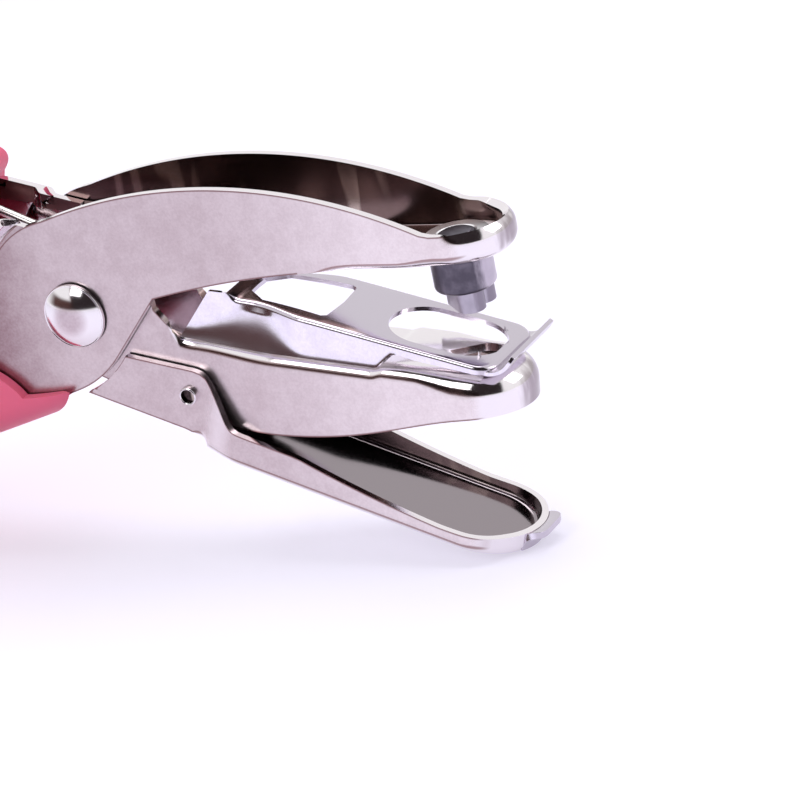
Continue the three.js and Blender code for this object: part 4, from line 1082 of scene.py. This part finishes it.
def tubeAlong(path, radius, steps=20):
    # circles square to the path, carried along it without twist, with domed ends
    ahead = np.gradient(path, axis=0)
    ahead /= np.linalg.norm(ahead, axis=1)[:, None]
    side = np.zeros_like(path)
    side[0] = np.cross(ahead[0], [0, 1, 0])
    side[0] /= np.linalg.norm(side[0])
    for i in range(1, len(path)):
        side[i] = side[i - 1] - ahead[i] * (side[i - 1] @ ahead[i])
        side[i] /= np.linalg.norm(side[i])
    up = np.cross(ahead, side)
    end = np.radians([90, 60, 30])
    first = path[:1] - ahead[:1] * radius * np.sin(end)[:, None]
    last = path[-1:] + ahead[-1:] * radius * np.sin(end[::-1])[:, None]
    centres = np.concatenate([first, path, last])
    size = np.concatenate([radius * np.cos(end), np.full(len(path), radius), radius * np.cos(end[::-1])])
    side, up = (np.pad(part, ((3, 3), (0, 0)), "edge")[:, None] for part in (side, up))
    angle = np.linspace(0, 2 * pi, steps, endpoint=False)[:, None]
    ring = side * np.cos(angle) + up * np.sin(angle)
    return centres[:, None] + size[:, None, None] * ring, gridFaces(len(centres), steps, closed=True)


points, faces = tubeAlong(springPath(), spring["wire"])
springMesh = makeMesh("return_spring_wire", [(points / 1000 + pivotAt, faces)])
springPiece = addObject("return_spring_wire", springMesh)
springPiece.data.shade_smooth()
springPiece.data.materials.append(springWire)
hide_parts("return_spring")
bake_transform(springPiece)
print("made", springPiece.name, len(springPiece.data.polygons), "faces")

# the grips: vinyl sleeves with a closed round tail, a finger toe below and a thumb guard above
grip = {
    "wall": 1.8, "half": 8.8, "end": -81.2, "round": 6.0, "blunt": 2.4, "edgeRound": 0.5,
    "toe": -2.3, "toeFull": 0.5, "toeRound": 3.4, "toeRise": 2.2, "notch": 9.0, "notchHalf": 8.4,
    "guard": 3.4, "guardX": -17.6, "guardLength": 11.0,
    "gap": 0.12, "roomHalf": 7.3, "roomTail": -72.0,  # the hollow, a hair wider than the handle
}


def roundBox(half, low, high, lowRadius, highRadius, steps=12):
    # rounded rectangles in Y and Z: each corner's centre plus its radius times (cos, sin) of a quarter turn
    quarter = np.radians(np.linspace(0, 90, steps))
    low, high = (low, -1, lowRadius), (high, 1, highRadius)
    corners = []
    for i, (sideY, (z, sideZ, radius)) in enumerate(((1, low), (1, high), (-1, high), (-1, low))):
        turn = quarter + pi / 2 * (i - 1)
        y = sideY * (half - radius) + radius * np.cos(turn)
        corners.append(np.stack([y, z - sideZ * radius + radius * np.sin(turn)], -1))
    return np.concatenate(corners, 1)


def closedTube(x, rings):
    # the rings, each at its own x, with both ends drawn together at their middle
    points = np.concatenate([np.repeat(x[..., None], rings.shape[1], 1), rings], -1)
    ends = points[[0, -1]]
    middle = (ends.min(1, keepdims=True) + ends.max(1, keepdims=True)) / 2 * [1, 0, 1]
    ends = ends * [1, 0, 0] + middle * [0, 0, 1]
    points = np.concatenate([ends[:1], points, ends[1:]])
    return points, gridFaces(len(points), rings.shape[1], closed=True)


def gripTube(lowAt, highAt, front, lowRadius, highRadius, p=grip):
    # from a blunt tail, whose size shrinks as (1 - past^b)^(1/b), to the front
    tail = p["end"] + p["round"] * (1 - np.cos(np.radians(np.linspace(2, 88, 18))))
    x = np.concatenate([[p["end"]], tail, np.linspace(p["end"] + p["round"], front, 120)])[:, None]
    past = np.clip((p["end"] + p["round"] - x) / p["round"], 0, 1)
    shrink = (1 - past ** p["blunt"]) ** (1 / p["blunt"])
    middle, reach = (lowAt(x) + highAt(x)) / 2, (highAt(x) - lowAt(x)) / 2 * shrink
    size = p["half"] * shrink, middle - reach, middle + reach, lowRadius * shrink, highRadius * shrink
    return closedTube(x, roundBox(*size))


def roomTube(lowAt, highAt, front, lowRadius, highRadius, p=grip):
    # the handle's own shape with a hair of room, round at its tail: half = sqrt(roomHalf^2 - past^2)
    wide = p["roomHalf"]
    tail = p["roomTail"] - wide * np.cos(np.radians(np.linspace(0, 88, 10)))
    x = np.concatenate([tail, np.linspace(p["roomTail"], front, 30)])[:, None]
    half = np.sqrt(wide ** 2 - np.clip(p["roomTail"] - x, 0, wide - 0.1) ** 2)
    radii = np.minimum(lowRadius, half * 0.6), np.minimum(highRadius, half * 0.6)
    return closedTube(x, roundBox(half, lowAt(x) - p["gap"], highAt(x) + p["gap"], *radii, 6))


def makeGrip(name, tube, turn, cutters, body, node):
    # a solid sleeve, less the handle's room and whatever shapes its mouth
    points, faces = tube
    piece = addObject(name, makeMesh(name, [(settle(points, pivotAt, turn), faces)]))
    carve(piece, cutters)
    softenEdges(piece, grip["edgeRound"], 3, 35)
    finishPiece(piece, body, "soft_vinyl", vinyl, node)


def meshCutter(tube, turn):
    # a tube as an object to cut with
    points, faces = tube
    return addObject("cutter", makeMesh("cutter", [(settle(points, pivotAt, turn), faces)]))


def lowerLow(x, p=grip):
    # fuller under the toe, whose last bit rises along a quarter ellipse
    full = p["toeFull"] * smooth((x + 40) / 25)
    rise = np.clip((x - p["toe"] + p["toeRound"]) / p["toeRound"], 0, 1)
    return lowerHandleBottom(x) - p["wall"] - full + p["toeRise"] * (1 - np.sqrt(1 - rise ** 2 * 0.98))


def upperHigh(x, p=grip):
    # the top swells into a thumb guard near the pivot
    guard = p["guard"] * smooth((x - p["guardX"] + p["guardLength"]) / p["guardLength"])
    return upperHandleTop(x) + p["wall"] + guard


def toeNotch(p=grip):
    # a round bay in the toe's front edge, toe - notch * (1 - (y / half)^2): only its sides reach forward
    y = np.linspace(-p["notchHalf"], p["notchHalf"], 29)
    front = p["toe"] - p["notch"] * (1 - (y / p["notchHalf"]) ** 2)
    return np.concatenate([np.stack([front, y], 1), [[6, p["notchHalf"]], [6, -p["notchHalf"]]]])


# mouth of the lower grip: round toe, then up along the hub to the handle's top
lowerMouth = quadCurve((20, -40), (-2.3, -40), (-2.3, -12.3), ((-2.3, -10.8), (-3.9, -10.9)),
                       ((-7, -11.4), (-10.3, -11.5)), ((-11.6, -9.6), (-13.7, -8.3)),
                       ((-17.2, -6), (-18.4, -2)), (-18.4, 30), (20, 30))
plateRoom = [(-19, lowerHandleBottom(-19) - 0.3), (0, lowerHandleBottom(0) - 0.3), (0, 30), (-19, 30)]
lowerTube = gripTube(lowerLow, lambda x: lowerHandleTop(x) + grip["wall"], grip["toe"], 4.6, 4.0)
lowerCutters = [cutterFrom(lowerMouth, -20, 20, pivotAt, 0.0, "y"),
                meshCutter(roomTube(lowerHandleBottom, lowerHandleTop, 0.0, 2.0, 0.3), 0.0),
                cutterFrom(plateRoom, -7.2, 7.2, pivotAt, 0.0, "y"),
                cutterFrom(toeNotch(), -20, -8, pivotAt)]
makeGrip("lower_grip_vinyl", lowerTube, 0.0, lowerCutters, "punch_side", "lower_grip")

# mouth of the upper grip: straight up the handle, then forward under the guard and over its lip
guardFoot = upperHandleTop(grip["guardX"])
guardTop = guardFoot + grip["wall"] + grip["guard"]
upperMouth = quadCurve((20, -40), (-21.6, -40), (-21.6, 0), ((-19.1, 6), (-18.4, guardFoot)),
                       ((-16.2, guardTop - 2), (-18.8, guardTop)),
                       ((-20.6, guardTop + 1), (-23.6, guardTop + 2)), (-23.6, 60), (20, 60))
upperTube = gripTube(lambda x: upperHandleBottom(x) - grip["wall"], upperHigh, grip["guardX"] + 1, 4.0, 4.6)
upperCutters = [cutterFrom(upperMouth, -20, 20, pivotAt, jawTurn, "y"),
                meshCutter(roomTube(upperHandleBottom, upperHandleTop, -14.0, 0.3, 2.0), jawTurn)]
makeGrip("upper_grip_vinyl", upperTube, jawTurn, upperCutters, "die_side", "upper_grip")
print("pieces made")


def standAt(place, right, up, back):
    # matrix of an object at a place in metres, whose own axes point right, up and back
    stand = np.eye(4)
    stand[:3] = np.stack([right, up, back, place], 1)
    return Matrix(stand.tolist())


view = {
    "place": (327.05, -495.52, 207.44),  # from the pivot, in millimetres
    "right": (0.88547, 0.42488, -0.18821),
    "up": (-0.00236, 0.40913, 0.91247),
    "back": (0.46469, -0.80752, 0.36328),
    "lens": 210.7998,
    "sensor": 36,
}
camera = addObject("camera", bpy.data.cameras.new("camera"))
cameraAt = np.array(view["place"]) / 1000 + pivotAt
camera.matrix_world = standAt(cameraAt, view["right"], view["up"], view["back"])
camera.data.lens = view["lens"]
camera.data.sensor_width = view["sensor"]
camera.data.clip_start = 0.01
bpy.context.scene.camera = camera

# soft square lamps, in metres and watts
lampSettings = {
    "overhead": {"at": (0.0, 0.1, 0.6), "aim": (0.02, 0, 0.03), "size": 0.45, "power": 1.6},
    "front": {"at": (-0.1, -0.55, 0.5), "aim": (0.03, 0, 0.03), "size": 0.3, "power": 1.0},
    "side": {"at": (0.55, 0.15, 0.35), "aim": (0.05, 0, 0.03), "size": 0.3, "power": 0.8},
}
for name, lamp in lampSettings.items():
    light = bpy.data.lights.new(name, "AREA")
    light.size = lamp["size"]
    light.energy = lamp["power"]
    back = np.array(lamp["at"]) - np.array(lamp["aim"])
    back /= np.linalg.norm(back)
    right = np.cross([0, 0, 1], back)
    right /= np.linalg.norm(right)
    addObject(name, light).matrix_world = standAt(lamp["at"], right, np.cross(back, right), back)

studio = {
    "fill": 0.62,  # strength for everything but the camera, gloss and glass
    "white": 1.0,
    "brown": (0.1, 0.05, 0.045),
    "black": (0.025, 0.018, 0.02),
    "warm": (-0.5, -0.2),  # where the dark parts turn from brown to black
    "front": (-0.1, -1.0),
    "left": (0.907, -0.298, 0.298),
    "right": (-0.433, -0.872, 0.226),
}


def makeWorld(look):
    # white to the camera and to metal; in front of the punch metal sees a brown band low down, and a dark
    # wedge between two upright planes
    world = bpy.data.worlds.new("studio")
    bpy.context.scene.world = world
    g = Graph(world, "Background")
    rays = g.node("ShaderNodeLightPath")
    x, y, z = g.split(g.node("ShaderNodeTexCoord")[0])
    front = x * look["front"][0] + y * look["front"][1]
    band = front.ramp(0.2, 0.6) * (1 - z.ramp(0.24, 0.36))
    wedge = 1 - z.ramp(0.88, 0.95)
    for a, b, c in (look["left"], look["right"]):
        wedge = wedge * (x * a + y * b + z * c).ramp(-0.02, 0.06)
    isCamera, isGlossy, isTransmission = rays[0], rays[3], rays[6]
    dark = band.math("MAXIMUM", wedge) * z.ramp(-0.02, 0.04) * isGlossy
    tone = g.mix(x.ramp(*look["warm"]), look["brown"], look["black"])
    shown = isCamera.math("MAXIMUM", isGlossy).math("MAXIMUM", isTransmission)
    g.feed(g.shader.inputs["Strength"], look["fill"] + shown * (look["white"] - look["fill"]))
    g.feed(g.shader.inputs["Color"], g.mix(dark, (1.0, 1.0, 1.0), tone))


makeWorld(studio)

paper = {"half": 3.0, "pale": (0.6, 0.575, 0.69), "deep": (0.57, 0.545, 0.66), "glow": 0.42}


def floorMaterial(look):
    # pale paper, lifted to white where the camera sees it, all the more with the distance
    g = materialGraph("floor_paper", {"Roughness": 0.9, "Emission Strength": look["glow"]})
    rays = g.node("ShaderNodeLightPath")
    isCamera, isGlossy = rays[0], rays[3]
    away = g.node("ShaderNodeVectorMath", {"operation": "LENGTH"}, {0: g.place()})[1].ramp(0.3, 1.6)
    lift = g.mix(away, (0.96, 0.95, 1.0), (1.7, 1.7, 1.7))
    glow = g.mix(isCamera.math("MAXIMUM", isGlossy), (0.0, 0.0, 0.0), lift)
    return g.set(Base_Color=g.mix(g.noise(0.02, 2, 0.5), look["pale"], look["deep"]), Emission_Color=glow)


floorMesh = bpy.data.meshes.new("floor")
corners = [(-1, -1, 0), (1, -1, 0), (1, 1, 0), (-1, 1, 0)]
floorMesh.from_pydata((np.array(corners) * paper["half"]).tolist(), [], [(0, 1, 2, 3)])
floor = addObject("floor", floorMesh)
floor.data.materials.append(floorMaterial(paper))
bpy.context.scene.view_settings.view_transform = "Standard"
print("stage set")
